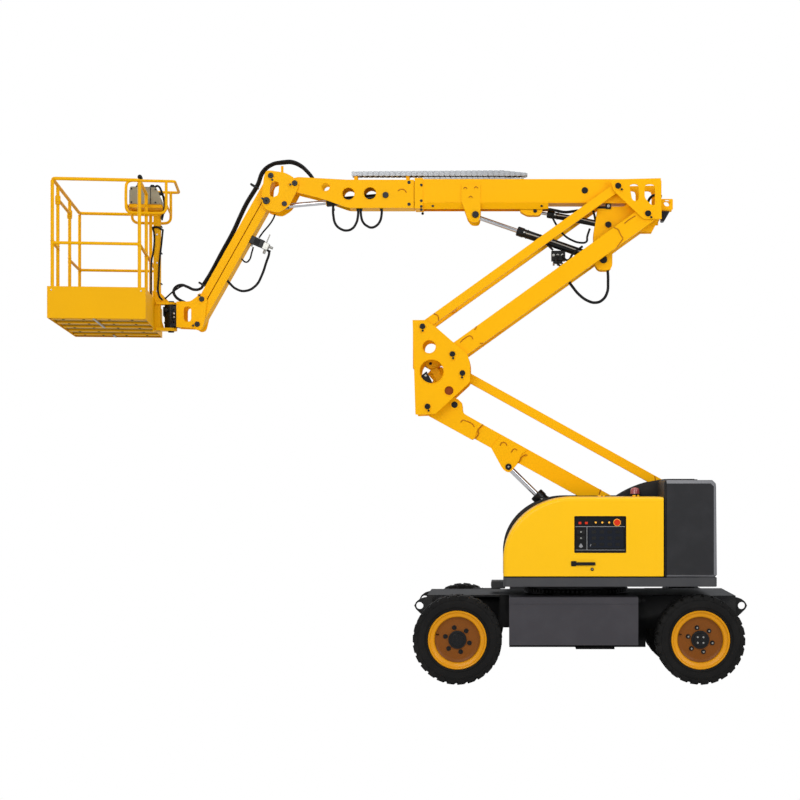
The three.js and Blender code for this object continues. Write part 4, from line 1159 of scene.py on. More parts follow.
# ------------------------------------------------------------------ turntable
@dataclass
class Turntable:
    """Deck, tower, counterweight, cowls and ground controls."""

    studio: Studio
    nose: Flat = (565.0, 500.0)
    crest: float = 1503.0
    front: float = -608.0
    rear: float = 683.0
    foot: float = 865.0

    def build(self) -> None:
        """Makes the turntable pieces."""
        deck = Sculpt(self.studio, "deck", DECK)
        deck.node("turntable_deck", bevel=8)
        deck.box((-716, -90, 740), (-700, 90, 776), 5, DARK)
        deck.done("turntable", "turntable_deck")
        self._tower()
        self._ballast()
        for side in Side:
            self._cowl(side)
        self._controls()
        pack = Sculpt(self.studio, "battery", BATTERY)
        pack.node("battery_pack", bevel=8)
        for i in range(6):
            pack.box((-80 + i * 72, 430, 1164), (-30 + i * 72, 680, 1176), 3, PANEL)
        pack.done("turntable", "battery_pack")

    def _tower(self) -> None:
        """Makes the tower with its pins, hoses and beacon."""
        tower = Sculpt(self.studio, "tower", BALLAST)
        tower.node("boom_tower", bevel=3)
        pin_heads(tower, PINS.boom_foot, 115, 32, 200)
        pin_heads(tower, PINS.link_foot, 115, 30, -60)
        tower.box((470, -200, 1440), (520, -112, 1452), 3, DARK)
        tower.box((474, -190, 1446), (516, -150, 1512), 4, DARK)
        tower.disc((495, -165, 1516), 46, 9, Axis.Z, 3, DARK)
        tower.disc((495, -165, 1540), 42, 20, Axis.Z, 3, ROSE, 32, 36)
        tower.dome((495, -165, 1556), 37, ROSE, 0.6)
        for route, radius in (
            ([(220, -60, 1200), (60, -50, 1240), (-60, -30, 1130), (40, 0, 960), (260, 20, 900)], 13),
            ([(220, 60, 1180), (40, 40, 1200), (-90, 10, 1090), (20, -10, 930), (260, -20, 890)], 11),
        ):
            tower.tube(route, radius, HOSE)
        tower.done("turntable", "boom_tower")

    def _ballast(self) -> None:
        """Makes the counterweight, with its rear side bevels in lighter grey as a painted highlight."""
        weight = Sculpt(self.studio, "counterweight", BALLAST)
        weight.node("counterweight", bevel=20)
        # Bevel faces turned partly sideways at the rear take the lighter grey: painted highlight.
        pale = weight.finish_index(BALLAST_BEVEL_HIGHLIGHT)
        for face in weight.bm.faces:
            if 0.2 < abs(face.normal.y) < 0.97 and face.calc_center_median().x > 730:
                face.material_index = pale
        for side in Side:
            weight.box((692, side.value * 798, 862), (702, side.value * 802, 1632), 1, CHASSIS)
            weight.disc((960, side.value * 500, 1641), 26, 5, Axis.Z, 2, DARK)
        weight.done("turntable", "counterweight")

    def profile(self, grow: float = 0.0, steps: int = 40) -> list[Flat]:
        """Outlines a cowl from the side.

        Args:
            grow: Distance outwards.
            steps: Steps round the nose.

        Returns:
            Its points, from the front foot over the top to the rear foot.
        """
        rx, rz = self.nose
        front, top = self.front - grow, self.crest + grow
        arc = [
            (front + rx - rx * math.cos(a), top - rz + rz * math.sin(a))
            for a in (math.pi / 2 * i / steps for i in range(steps + 1))
        ]
        return [(front, self.foot), *arc, (self.rear, top), (self.rear, self.foot)]

    def _cowl(self, side: Side) -> None:
        """Makes a hood as a thin curved shell, and its latch.

        Args:
            side: Side of the machine.
        """
        s = side.value
        word = side.name.lower()
        shell = Sculpt(self.studio, f"cowl {word}", COWL)
        shell.prism(self.profile(), *sorted((s * 185, s * 799.5)), bevel=0)
        rim = [
            e for e in shell.bm.edges
            if all(abs(abs(v.co.y) - 799.5) < 1 for v in e.verts)
            and not all(abs(v.co.z - self.foot) < 1 for v in e.verts)
            and not all(abs(v.co.x - self.rear) < 1 for v in e.verts)
        ]
        bmesh.ops.bevel(
            shell.bm, geom=rim, offset=34, offset_type="OFFSET", affect="EDGES", segments=6, profile=0.5,
            material=-1, clamp_overlap=True,
        )
        gone = [
            f for f in shell.bm.faces
            if all(abs(abs(v.co.y) - 185) < 1 for v in f.verts)
            or all(abs(v.co.x - self.rear) < 1 for v in f.verts)
            or all(abs(v.co.z - self.foot) < 1 for v in f.verts)
        ]
        bmesh.ops.delete(shell.bm, geom=gone, context="FACES")
        made = shell.done(f"hood_{word}", f"cowl_{word}")
        thick = made.modifiers.new("wall", "SOLIDIFY")
        thick.thickness = 0.006
        thick.offset = -1
        if side is Side.LEFT:
            self._window(made)
        trim = Sculpt(self.studio, f"cowl trim {word}", COWL)
        trim.box((-62, s * 797, 946), (-18, s * 809, 988), 8, DARK)
        trim.box((-50, s * 797, 953), (134, s * 818, 979), 7, DARK)
        trim.disc((108, s * 801, 922), 13, 4, Axis.Y, 1, DARK)
        trim.disc((108, s * 803, 922), 5, 4, Axis.Y, 1, ZINC)
        for x in (180, 470):
            trim.box((x, s * 196, 1500), (x + 26, s * 260, 1514), 4)
            trim.disc((x + 50, s * 214, 1507), 9, 8, Axis.Z, 3)
        trim.done(f"hood_{word}")

    def _window(self, cowl: bpy.types.Object) -> None:
        """Cuts the opening for the ground controls.

        Args:
            cowl: The left hood.
        """
        cutter = Sculpt(self.studio, "window", COWL)
        cutter.box((-36, -830, 1053), (382, -770, 1350), 8, segments=3)
        tool = cutter.done("")
        cut = cowl.modifiers.new("window", "BOOLEAN")
        cut.operation = "DIFFERENCE"
        cut.solver = "EXACT"
        cut.object = tool
        bpy.context.view_layer.update()
        ready = cowl.evaluated_get(bpy.context.evaluated_depsgraph_get())
        mesh = bpy.data.meshes.new_from_object(ready)
        mesh.transform(cowl.matrix_world)
        cowl.modifiers.clear()
        cowl.data = mesh
        cowl.matrix_world = Matrix.Identity(4)
        mesh.set_sharp_from_angle(angle=CREASE)
        flat = cowl.modifiers.new("flat faces", "WEIGHTED_NORMAL")
        flat.keep_sharp = True
        bpy.data.objects.remove(tool)

    def _controls(self) -> None:
        """Makes the ground control panel."""
        panel = Sculpt(self.studio, "ground controls", PANEL)
        y = -790
        panel.box((-56, -784, 1033), (402, -640, 1370), 4)
        panel.tube(
            [(-33, y, 1056), (379, y, 1056), (379, y, 1347), (-33, y, 1347)], 6, PANEL, 12, True
        )
        panel.box((78, y, 1092), (362, -780, 1256), 4, SCREEN)
        panel.box((-30, y, 1262), (376, -782, 1267), 1, WHITE)
        panel.box((64, y, 1078), (69, -782, 1262), 1, WHITE)
        panel.box((-30, y, 1074), (376, -782, 1078), 1, WHITE)
        for x in (10, 62):
            panel.box((x - 12, y - 3, 1284), (x + 12, -780, 1304), 4, RED)
        for x in (137, 190, 245):
            panel.box((x - 16, y - 4, 1282), (x + 16, -780, 1308), 4, CHASSIS)
            panel.disc((x, y - 6, 1298), 8, 4, Axis.Y, 2, AMBER_GLOW)
        # The ring behind the stop button glows amber: painted glow.
        panel.disc((309, y - 2, 1298), 30, 8, Axis.Y, 2, AMBER_GLOW)
        panel.disc((309, y - 10, 1298), 26, 9, Axis.Y, 5, RED)
        panel.prism([(0, 1104), (18, 1132), (36, 1104), (18, 1092)], y - 2, y + 2, 1, WHITE)
        for i in range(2):
            z = 1172 + i * 50
            panel.box((-14, y, z - 18), (50, -782, z + 18), 4, CHASSIS)
            panel.disc((18, y - 6, z), 7, 8, Axis.Y, 2, ZINC)
        for i in range(4):
            for z in (1122, 1172, 1222):
                panel.box((104 + i * 64, y - 2, z - 13), (140 + i * 64, y + 2, z + 13), 3, CHASSIS)
        panel.tube([(92, y - 2, 1108), (100, y - 2, 1124)], 3, WHITE)
        panel.done("turntable", "ground_controls")


# ------------------------------------------------------------------ cylinders
@dataclass
class Cylinder:
    """A hydraulic cylinder between two pins of the working plane."""

    studio: Studio
    name: str
    base: Flat
    eye: Flat
    mouth: float
    radius: float
    rod: float
    barrel_body: str
    rod_body: str
    eye_radius: float = 34.0
    inside: float = 420.0
    barrel_node: str = ""
    rod_node: str = ""

    def build(self) -> None:
        """Makes the barrel, when it is a piece of its own, and the rod."""
        length = math.dist(self.base, self.eye)
        if self.barrel_body:
            barrel = Sculpt(self.studio, f"{self.name} barrel", DARK)
            barrel.local = run_frame(self.base, self.eye)
            self._barrel(barrel, self.radius * 0.55)
            barrel.disc((0, 0, 0), self.radius * 0.9, min(self.radius, 40), Axis.Y, 3, sides=36)
            barrel.done(self.barrel_body, self.barrel_node)
        rod = Sculpt(self.studio, f"{self.name} rod", CHROME)
        rod.local = run_frame(self.base, self.eye)
        r, e = self.rod, self.eye_radius
        neck = length - e * 0.8
        outline = [
            (0, self.inside), (r, self.inside), (r, neck - 6), (r * 1.25, neck - 4),
            (r * 1.25, neck + 8), (0, neck + 8),
        ]
        rod.spin(outline, (0, 0, 0), Axis.Z, 40)
        rod.disc((0, 0, length), e, e * 0.8, Axis.Y, 3, DARK, 36)
        rod.disc((0, 0, length), e * 0.62, e * 0.9, Axis.Y, 2, ZINC, 24)
        rod.done(self.rod_body, self.rod_node)

    def _barrel(self, barrel: Sculpt, start: float) -> None:
        """Adds the barrel with its ports and pipe.

        Args:
            barrel: The barrel.
            start: Distance of its lower end from the base pin.
        """
        r, m = self.radius, self.mouth
        barrel.spin(
            [(0, start), (r - 6, start), (r, start + 8), (r, m - 66), (r + 2, m - 64), (r + 5, m - 58),
             (r + 5, m - 8), (r, m - 2), (self.rod + 6, m), (self.rod + 1, m - 4), (self.rod + 1, m - 50),
             (0, m - 50)], (0, 0, 0), Axis.Z, 48,
        )
        for z in (start + 46, m - 92):
            barrel.disc((0, 0, z), r + 4, 5, Axis.Z, 2)
            barrel.box((-14, -14, z + 10), (14, 14, z + 38), 3, None, Matrix.Translation((r + 4, 0, 0)))
            barrel.disc((r + 24, 0, z + 24), 9, 10, Axis.X, 2, ZINC, 6)
        barrel.tube([(r + 12, 0, start + 70), (r + 16, 6, m * 0.5), (r + 12, 0, m - 70)], 6, ZINC)


# ------------------------------------------------------------------ riser
@dataclass
class Riser:
    """Both stages of the riser with their uprights."""

    studio: Studio

    def build(self) -> None:
        """Makes the riser pieces."""
        p = PINS
        low = Sculpt(self.studio, "lower boom", BOOM)
        low.node("lower_boom")
        d, foot = p.d, p.boom_foot
        for marks, face in (
            (((302, 20), (307, 46), (354, 56), (396, 58), (423, 42)), 83),
            (((477, 98), (472, 78), (458, 34), (483, 11), (480, -40)), 83),
            (((690, 10), (687, 35), (703, 50), (723, 51), (740, 38)), 83),
            (((800, 4), (800, 31), (811, 48), (834, 46)), 83),
            (((930, 52), (907, 39), (894, 11), (900, -20), (890, -46)), 83),
            (((1613, 98), (1621, 60), (1627, 20), (1620, -40)), 73),
        ):
            weld(low, [on_arm(d, foot, u, v) for u, v in marks], face)
        low.disc((p.timing_low[0], 0, p.timing_low[1]), 27, 92, Axis.Y, 3, DARK)
        for side in Side:
            s = side.value
            x, z = on_arm(d, foot, 839, -113)
            low.disc((x, s * 86, z), 27, 5, Axis.Y, 2, DARK)
            low.disc((x, s * 92, z), 9, 4, Axis.Y, 1, ZINC, 6)
            low.disc((p.timing_low[0], s * 84, p.timing_low[1]), 42, 3, Axis.Y, 1.5)
        low.done("lower_boom", "lower_boom")
        link = Sculpt(self.studio, "lower link", BOOM)
        link.node("lower_link")
        weld(link, [on_arm(p.c, p.link_foot, u, v) for u, v in ((1840, -34), (1866, 0), (1840, 34))], 46)
        link.done("lower_link", "lower_link")
        timing = Sculpt(self.studio, "timing link", BOOM)
        timing.node("timing_link")
        timing.disc((p.timing_high[0], 0, p.timing_high[1]), 20, 32, Axis.Y, 2, DARK)
        timing.done("timing_link", "timing_link")
        self._mid()
        self._upper()
        self._top()
        Cylinder(
            self.studio, "riser cylinder", p.riser_base, p.riser_eye, 850, 55, 25, "riser_barrel",
            "riser_rod", 34, 420, "riser_cylinder_barrel", "riser_cylinder_rod",
        ).build()

    def _mid(self) -> None:
        """Makes the upright between both stages."""
        p = PINS
        mid = Sculpt(self.studio, "mid upright", BOOM)
        mid.node("mid_upright")
        for pin, angle in ((p.a, -88), (p.b, -80), (p.c, -95), (p.d, -75)):
            pin_heads(mid, pin, 190, 24, angle)
        x, z = p.d
        for side in Side:
            y = side.value * 191
            for cx, cz, r in ((14, 502, 57), (35, 295, 102), (180, 133, 40)):
                hoop(mid, (x + cx, z + cz), y, r, 24)
        # Brown discs behind the small lower holes: painted shade.
        for s in (-1, 1):
            mid.disc((x + 180, s * 168, z + 133), 48, 5, Axis.Y, 1, RECESS_SHADE)
        plate = [(-20, 296), (18, 337), (105, 357), (148, 300), (116, 180), (4, 186), (30, 240)]
        mid.prism([(x + a, z + b) for a, b in plate], 168, 174, 2)
        # The gusset inside the big hole takes the darker orange as painted shade.
        gusset = [(-42, 356), (8, 400), (62, 385), (96, 346), (24, 318)]
        mid.prism([(x + a, z + b) for a, b in gusset], 158, 167, 3, WELD_AND_SHADE)
        mid.disc((x + 6, 150, z + 382), 22, 14, Axis.Y, 3, DARK)
        block = [(-58, 262), (-12, 300), (32, 216), (36, 186), (-40, 200)]
        mid.prism([(x + a, z + b) for a, b in block], -130, -80, 5, DARK)
        mid.disc((x - 18, -134, z + 262), 11, 6, Axis.Y, 2, ZINC, 6)
        mid.done("mid_upright", "mid_upright")

    def _upper(self) -> None:
        """Makes the upper riser and its link."""
        p = PINS
        arm = Sculpt(self.studio, "upper riser", BOOM)
        arm.node("upper_riser")
        for marks in (
            ((1814, 50), (1854, 53), (1926, 48)),
            ((1722, 74), (1745, 38), (1733, -8), (1733, -48), (1652, -74)),
            ((112, 42), (141, 50), (203, 46), (219, 29), (213, 2)),
            ((300, 74), (284, 62), (270, 58)),
            ((262, -74), (240, -60)),
        ):
            weld(arm, [on_arm(p.b, p.riser_top, u, v) for u, v in marks], 169)
        for offset in (-98, 98):
            run = ((120, -10), (400, 60), (900, 30), (1400, 34), (1800, 10))
            places = [on_arm(p.b, p.riser_top, u, v) for u, v in run]
            arm.tube([(x, offset, z) for x, z in places], 9, HOSE)
        for u in (700, 1150, 1500):
            x, z = on_arm(p.b, p.riser_top, u, 34)
            for low, high in ((-112, -86), (86, 112)):
                arm.box((x - 14, low, z - 14), (x + 14, high, z + 14), 3, DARK)
        arm.done("upper_riser", "upper_riser")
        link = Sculpt(self.studio, "upper link", BOOM)
        link.node("upper_link")
        weld(link, [on_arm(p.a, p.boom, u, v) for u, v in ((140, -36), (160, 0), (140, 36))], 163)
        link.done("upper_link", "upper_link")

    def _top(self) -> None:
        """Makes the upright at the foot of the boom."""
        p = PINS
        top = Sculpt(self.studio, "top upright", BOOM)
        top.node("top_upright")
        pin_heads(top, p.boom, 190, 26, -45, 42)
        pin_heads(top, p.riser_top, 190, 26, -50, 42)
        bx, bz = p.boom
        for s in (-1, 1):
            for place, r in ((p.main_base, 24), (p.level_base, 18)):
                top.disc((place[0], s * 72, place[1]), r + 8, 6, Axis.Y, 2, DARK)
            top.disc((bx - 100, s * 68, bz - 470), 16, 6, Axis.Y, 2, DARK)
        top.box((bx - 110, -48, bz - 330), (bx - 30, 48, bz - 262), 5, DARK)
        top.box((180, -70, 3936), (262, -50, 3958), 4, DARK)
        top.box((254, -82, 3932), (300, -50, 3980), 5, DARK)
        top.disc((277, -84, 3956), 14, 6, Axis.Y, 2, ZINC, 6)
        top.bolts([(bx - 92 + i * 44, -52, bz - 296) for i in range(2)], 9, 6, Axis.Y, ZINC)
        ear = [(368, -190), (448, -190), (400, -274), (374, -274)]
        top.prism([(bx + a, bz + b) for a, b in ear], -60, 60, 6, DARK)
        top.tube([(bx + 380, -30, bz - 60), (bx + 300, -40, bz - 60), (bx + 240, -30, bz - 180),
                  (bx + 180, -20, bz - 300)], 12, HOSE)
        top.tube([(bx + 120, 60, bz - 100), (bx + 60, 40, bz - 330), (bx - 40, 20, bz - 300)], 10, HOSE)
        top.done("top_upright", "top_upright")


# ------------------------------------------------------------------ boom
@dataclass
class Boom:
    """Main boom, fly boom and what is carried on them."""

    studio: Studio

    def build(self) -> None:
        """Makes the boom pieces."""
        p = PINS
        bx, bz = p.boom
        boom = Sculpt(self.studio, "main boom", BOOM)
        boom.node("main_boom", bevel=4)
        for side in Side:
            s = side.value
            boom.bolts([(bx - 1656, s * 109, bz + z) for z in (21, -111, -160, -187)], 8, 5, Axis.Y, DARK)
            boom.bolts([(bx - 1560, s * 84, bz - 150), (bx - 640, s * 84, bz - 150)], 8, 5, Axis.Y, DARK)
            boom.disc((bx - 276, s * 103, bz - 23), 27, 5, Axis.Y, 3, DARK)
            boom.disc((bx - 276, s * 106, bz - 23), 12, 4, Axis.Y, 1, CHASSIS, 6)
            boom.disc((p.main_eye[0], s * 118, p.main_eye[1]), 29, 6, Axis.Y, 3, DARK)
            for x, z in ((-932, 4103), (-841, 4108), (-887, 4028)):
                mark = [(x - 16, s * 111, z - 5), (x, s * 111.5, z + 6), (x + 16, s * 111, z - 5)]
                boom.tube(mark, 4, WELD_AND_SHADE)
            boom.disc((p.level_eye[0], s * 51, p.level_eye[1]), 16, 5, Axis.Y, 2, DARK)
            boom.box((bx - 1610, s * 100, bz - 122), (bx + 30, s * 102.5, bz - 116), 1)
        boom.done("main_boom", "main_boom")
        self._chain()
        self._fly()
        Cylinder(
            self.studio, "main cylinder", p.main_base, p.main_eye, 775, 36, 19, "main_barrel",
            "main_rod", 34, 420, "main_cylinder_barrel", "main_cylinder_rod",
        ).build()
        Cylinder(
            self.studio, "level cylinder", p.level_base, p.level_eye, 527, 27, 13, "level_barrel",
            "level_rod", 22, 300, "level_cylinder_barrel", "level_cylinder_rod",
        ).build()
        Cylinder(
            self.studio, "jib level cylinder", p.slave_base, p.slave_eye, 515, 32, 20, "",
            "jib_level_rod", 30, 390, "", "jib_level_rod",
        ).build()
        self._valves()

    def _valves(self) -> None:
        """Makes the valve block and the hoses at the foot of the boom."""
        block = Sculpt(self.studio, "main cylinder valve", DARK)
        block.box((-205, -42, 3500), (-86, 42, 3585), 6)
        block.box((-190, -30, 3478), (-110, 30, 3502), 4)
        for x in (-185, -150, -112):
            block.disc((x, -50, 3545), 12, 10, Axis.Y, 2, ZINC, 6)
            block.disc((x, -30, 3470), 9, 12, Axis.Z, 2, ZINC, 6)
        block.tube([(-112, -55, 3545), (-70, -62, 3500), (-20, -58, 3560), (60, -50, 3620)], 10, HOSE)
        block.tube([(-150, -58, 3545), (-160, -70, 3480), (-60, -66, 3440), (40, -50, 3500)], 9, HOSE)
        block.tube([(-190, -30, 3590), (-260, -34, 3660), (-300, -30, 3720)], 9, HOSE)
        block.done("main_barrel")
        loop = Sculpt(self.studio, "level cylinder hoses", HOSE)
        loop.tube([
            (-290, -34, 3934), (-239, -40, 3936), (-178, -42, 3926), (-87, -44, 3910),
            (-19, -42, 3917), (40, -34, 3922), (90, -26, 3890),
        ], 12)
        loop.tube([
            (-200, -30, 3890), (-190, -40, 3856), (-148, -46, 3780), (-102, -48, 3720), (-27, -48, 3670),
            (49, -46, 3650), (92, -42, 3660), (100, -36, 3705), (122, -28, 3772),
        ], 9)
        loop.tube([(151, -30, 3925), (164, -40, 3868), (176, -30, 3805)], 10)
        loop.done("level_barrel")
        hanging = Sculpt(self.studio, "upright hose", HOSE)
        hanging.tube([
            (262, -42, 3520), (273, -44, 3409), (276, -44, 3326), (266, -44, 3223), (223, -44, 3162),
            (167, -44, 3143), (102, -44, 3160), (34, -44, 3208), (-27, -42, 3280), (-66, -40, 3335),
            (-90, -36, 3372),
        ], 12, resolution=8)
        made = hanging.done("")
        self.studio.point((10, 0, 3230))
        self.studio.point((240, 0, 3230))
        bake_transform(made)

    def _chain(self) -> None:
        """Makes both runs of the cable chain."""
        bx, bz = PINS.boom
        for name, start, end, foot, body in (
            ("lower", -1640.0, -760.0, 73.5, "main_boom"), ("upper", -2250.0, -768.0, 107.5, "fly_boom"),
        ):
            chain = Sculpt(self.studio, f"cable chain {name}", CHAIN)
            count = int((end - start) / 46)
            pitch = (end - start) / count
            for i in range(count):
                x = bx + start + pitch * i
                z = bz + foot
                h = 28 - 5 * max(0, i - count + 5) + (12 + 12 * i / count if name == "upper" else 0)
                ahead = x + pitch
                for s in (-1, 1):
                    chain.box((x + 1, s * 39, z + 0.5), (ahead - 6, s * 45, z + h - 0.5), 2, segments=1)
                    chain.box((ahead - 14, s * 36, z + 4), (ahead + 8, s * 42, z + h - 4), 2, segments=1)
                chain.box((x + 8, -40, z + h - 5), (x + 22, 40, z + h - 1), 1, segments=1)
                chain.box((x + 8, -40, z + 1), (x + 22, 40, z + 5), 1, segments=1)
            z = bz + foot + 12
            for y in (-24, -8, 8, 24):
                chain.tube([(bx + start + 10, y, z), (bx + end - 30, y, z)], 6, HOSE)
            if name == "upper":
                for x in (-2230, -1790):
                    chain.box((bx + x, -35, bz + 68.4), (bx + x + 30, 35, bz + foot + 4), 3, BOOM)
            chain.done(body, f"cable_track_{name}")

    def _fly(self) -> None:
        """Makes the fly boom and its two hanging hoses."""
        p = PINS
        ex, ez = p.elbow
        bx, bz = p.boom
        fly = Sculpt(self.studio, "fly boom", BOOM)
        fly.node("fly_boom", bevel=3)
        for side in Side:
            s = side.value
            for dx, dz, r in ((259, -28, 36), (450, -85, 54), (632, -81, 54)):
                hoop(fly, (ex + dx, ez + dz), s * 98.5, r, 20)
            fly.disc((p.slave_base[0], s * 103, p.slave_base[1]), 26, 5, Axis.Y, 2, DARK)
            fly.bolts([(bx - 1760, s * 98, bz + z) for z in (45, -140)], 10, 5, Axis.Y, DARK)
        weld(fly, [(-1501, 4081), (-1479, 4096), (-1450, 4096), (-1428, 4067)], 98)
        fly.local = run_frame(p.slave_base, p.slave_eye)
        barrel = [
            (0, 20), (34, 20), (34, 440), (39, 446), (39, 508), (26, 514), (22, 500), (22, 470), (0, 470),
        ]
        fly.spin(barrel, (0, 0, 0), Axis.Z, 40, DARK)
        fly.local = Matrix.Identity(4)
        fly.done("fly_boom", "fly_boom")
        hoses = Sculpt(self.studio, "fly hoses", HOSE)
        y = -52
        for route in (
            [(318, -150), (318, -262), (340, -340), (385, -378), (428, -389), (476, -374), (510, -330),
             (526, -270), (526, -150)],
            [(552, -150), (554, -270), (572, -322), (606, -352), (640, -364), (680, -350), (712, -312),
             (726, -260), (726, -150)],
        ):
            hoses.tube([(ex + a, y, ez + b) for a, b in route], 10.5, resolution=8)
            for a, _ in (route[0], route[-1]):
                hoses.disc((ex + a, y, ez - 212), 14, 10, Axis.Z, 3, DARK, 6)
        hoses.done("fly_boom", "fly_hose_front", "fly_hose_rear")


# ------------------------------------------------------------------ jib
@dataclass
class Jib:
    """Elbow bracket, jib arms, jib head and rotator, with their hoses."""

    studio: Studio

    def build(self) -> None:
        """Makes the jib pieces."""
        p = PINS
        ex, ez = p.elbow
        bracket = Sculpt(self.studio, "jib bracket", BOOM)
        bracket.node("jib_bracket", bevel=3)
        for pin, r, angle in ((p.elbow, 24, 200), (p.jib_top, 30, 150), (p.link_top, 24, -70)):
            pin_heads(bracket, pin, 118, r, angle, 38)
        for s in (-1, 1):
            bracket.disc((p.slave_eye[0], s * 124, p.slave_eye[1]), 22, 5, Axis.Y, 2, DARK)
        bracket.done("jib_bracket", "jib_bracket")
        link = Sculpt(self.studio, "jib link", BOOM)
        link.node("jib_link", bevel=4)
        self._valve(link)
        link.done("jib_link", "jib_link")
        arm = Sculpt(self.studio, "jib arm", BOOM)
        arm.node("jib_boom", bevel=4)
        arm.done("jib_boom", "jib_boom")
        head = Sculpt(self.studio, "jib head", BOOM)
        head.node("jib_head", bevel=3)
        for pin, angle in ((p.jib_foot, 200), (p.link_bottom, 120)):
            pin_heads(head, pin, 98, 23, angle, 36)
        head.node("rotator", DARK, bevel=4)
        x = p.rotator
        for z in (2975, 3030, 3085):
            head.disc((x, 0, z), 61, 7, Axis.Z, 2, DARK, 40)
        head.bolts([(x + 52, s * 34, z) for s in (-1, 1) for z in (2970, 3090)], 9, 8, Axis.X, ZINC)
        head.box((x + 20, -64, 3000), (x + 60, -44, 3070), 4, DARK)
        head.disc((x + 40, -72, 3048), 9, 12, Axis.Y, 2, ZINC, 6)
        head.disc((x + 40, -72, 3018), 9, 12, Axis.Y, 2, ZINC, 6)
        head.box((x - 62, -40, 3030), (x - 50, 40, 3110), 4, DARK)
        head.disc((x - 30, -62, 3078), 17, 16, Axis.Y, 3, DARK, 6)
        head.disc((x + 20, -66, 2986), 13, 12, Axis.Y, 3, DARK, 6)
        head.done("jib_head", "jib_head", "rotator")
        self._hoses()

    def _valve(self, link: Sculpt) -> None:
        """Adds the valve block and its three hoses to the jib's lower side."""
        y = -60
        link.local = Matrix.Translation((-2680, y, 3646)) @ Matrix.Rotation(math.radians(23), 4, "Y")
        link.box((-76, -30, -32), (44, 26, 36), 6, DARK)
        link.box((40, -24, -34), (92, 22, 26), 4, ZINC)
        link.box((-40, -34, -20), (8, -26, 24), 3, CHASSIS)
        link.disc((58, 0, 52), 5, 52, Axis.Z, 2, ZINC, 16)
        link.disc((104, 0, 4), 13, 22, Axis.X, 3, ZINC, 6)
        link.disc((104, -6, -30), 11, 16, Axis.X, 3, DARK, 6)
        link.disc((72, 0, -46), 13, 22, Axis.Z, 3, ZINC, 6)
        link.disc((-50, 0, -40), 11, 12, Axis.Z, 2, ZINC, 6)
        link.local = Matrix.Identity(4)
        link.tube([(-2592, y, 3584), (-2596, y, 3548), (-2616, y, 3490), (-2653, y, 3381), (-2709, y, 3284),
                   (-2799, y, 3240), (-2872, y, 3257), (-2928, y, 3305), (-2960, y, 3345)], 10.5, HOSE)
        for thin in (
            [(-2728, 3612), (-2741, 3566), (-2764, 3500), (-2789, 3484), (-2828, 3512)],
            [(-2544, 3889), (-2560, 3850), (-2595, 3797), (-2644, 3740), (-2680, 3690)],
        ):
            link.tube([(x, y, z) for x, z in thin], 7, HOSE)

    def _hoses(self) -> None:
        """Lays the hoses over the elbow and along the jib to the rotator."""
        p = PINS
        ex, ez = p.elbow
        top = (ex - 122, 0, ez + 196)
        first = Sculpt(self.studio, "elbow hoses", HOSE)
        second = Sculpt(self.studio, "jib hoses", HOSE)
        arch = [(150, 44), (128, 76), (92, 118), (40, 164), (-40, 198)]
        run = [(ex - 200, ez + 182), (ex - 282, ez + 119), (ex - 330, ez + 5), (ex - 425, ez - 154)]
        down = [(-2844, 3886), (-2905, 3752), (-3008, 3562), (-3098, 3394), (-3156, 3301)]
        for dy, dz, r in ((-16, 6, 10), (16, 6, 10), (0, -8, 11), (-2, 14, 7)):
            first.tube(
                [(ex + a, dy, ez + b + dz) for a, b in arch] + [(top[0], dy, top[2] + dz)], r, resolution=8
            )
            second.tube(
                [(top[0], dy, top[2] + dz)] + [(x - dz * 0.8, dy, z + dz * 0.5) for x, z in run + down],
                r, resolution=8,
            )
        made = first.done("", "elbow_hose")
        self.studio.point((ex + 160, 0, ez + 80))
        self.studio.point((ex - 110, 0, ez + 180))
        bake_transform(made)
        for x, z in ((-2726, 4136), (-3165, 3300)):
            frame = run_frame(p.link_bottom, p.link_top)
            frame.translation = Vector((x, 0, z))
            second.box((-32, -38, -9), (32, 38, 9), 6, DARK, frame)
        second.tube([(-3160, -16, 3301), (-3176, -26, 3268), (-3231, -36, 3254), (-3289, -46, 3277),
                     (-3340, -50, 3292), (-3390, -52, 3270), (-3404, -54, 3236), (-3384, -56, 3190),
                     (-3350, -60, 3164), (-3304, -60, 3142)], 12, resolution=8)
        second.tube([(-3270, -30, 3272), (-3310, -34, 3288), (-3386, -38, 3255), (-3481, -40, 3176)], 7)
        made = second.done("", "jib_hose")
        self.studio.point((ex - 130, 0, ez + 200))
        self.studio.point((ex - 400, 0, ez - 90))
        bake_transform(made)


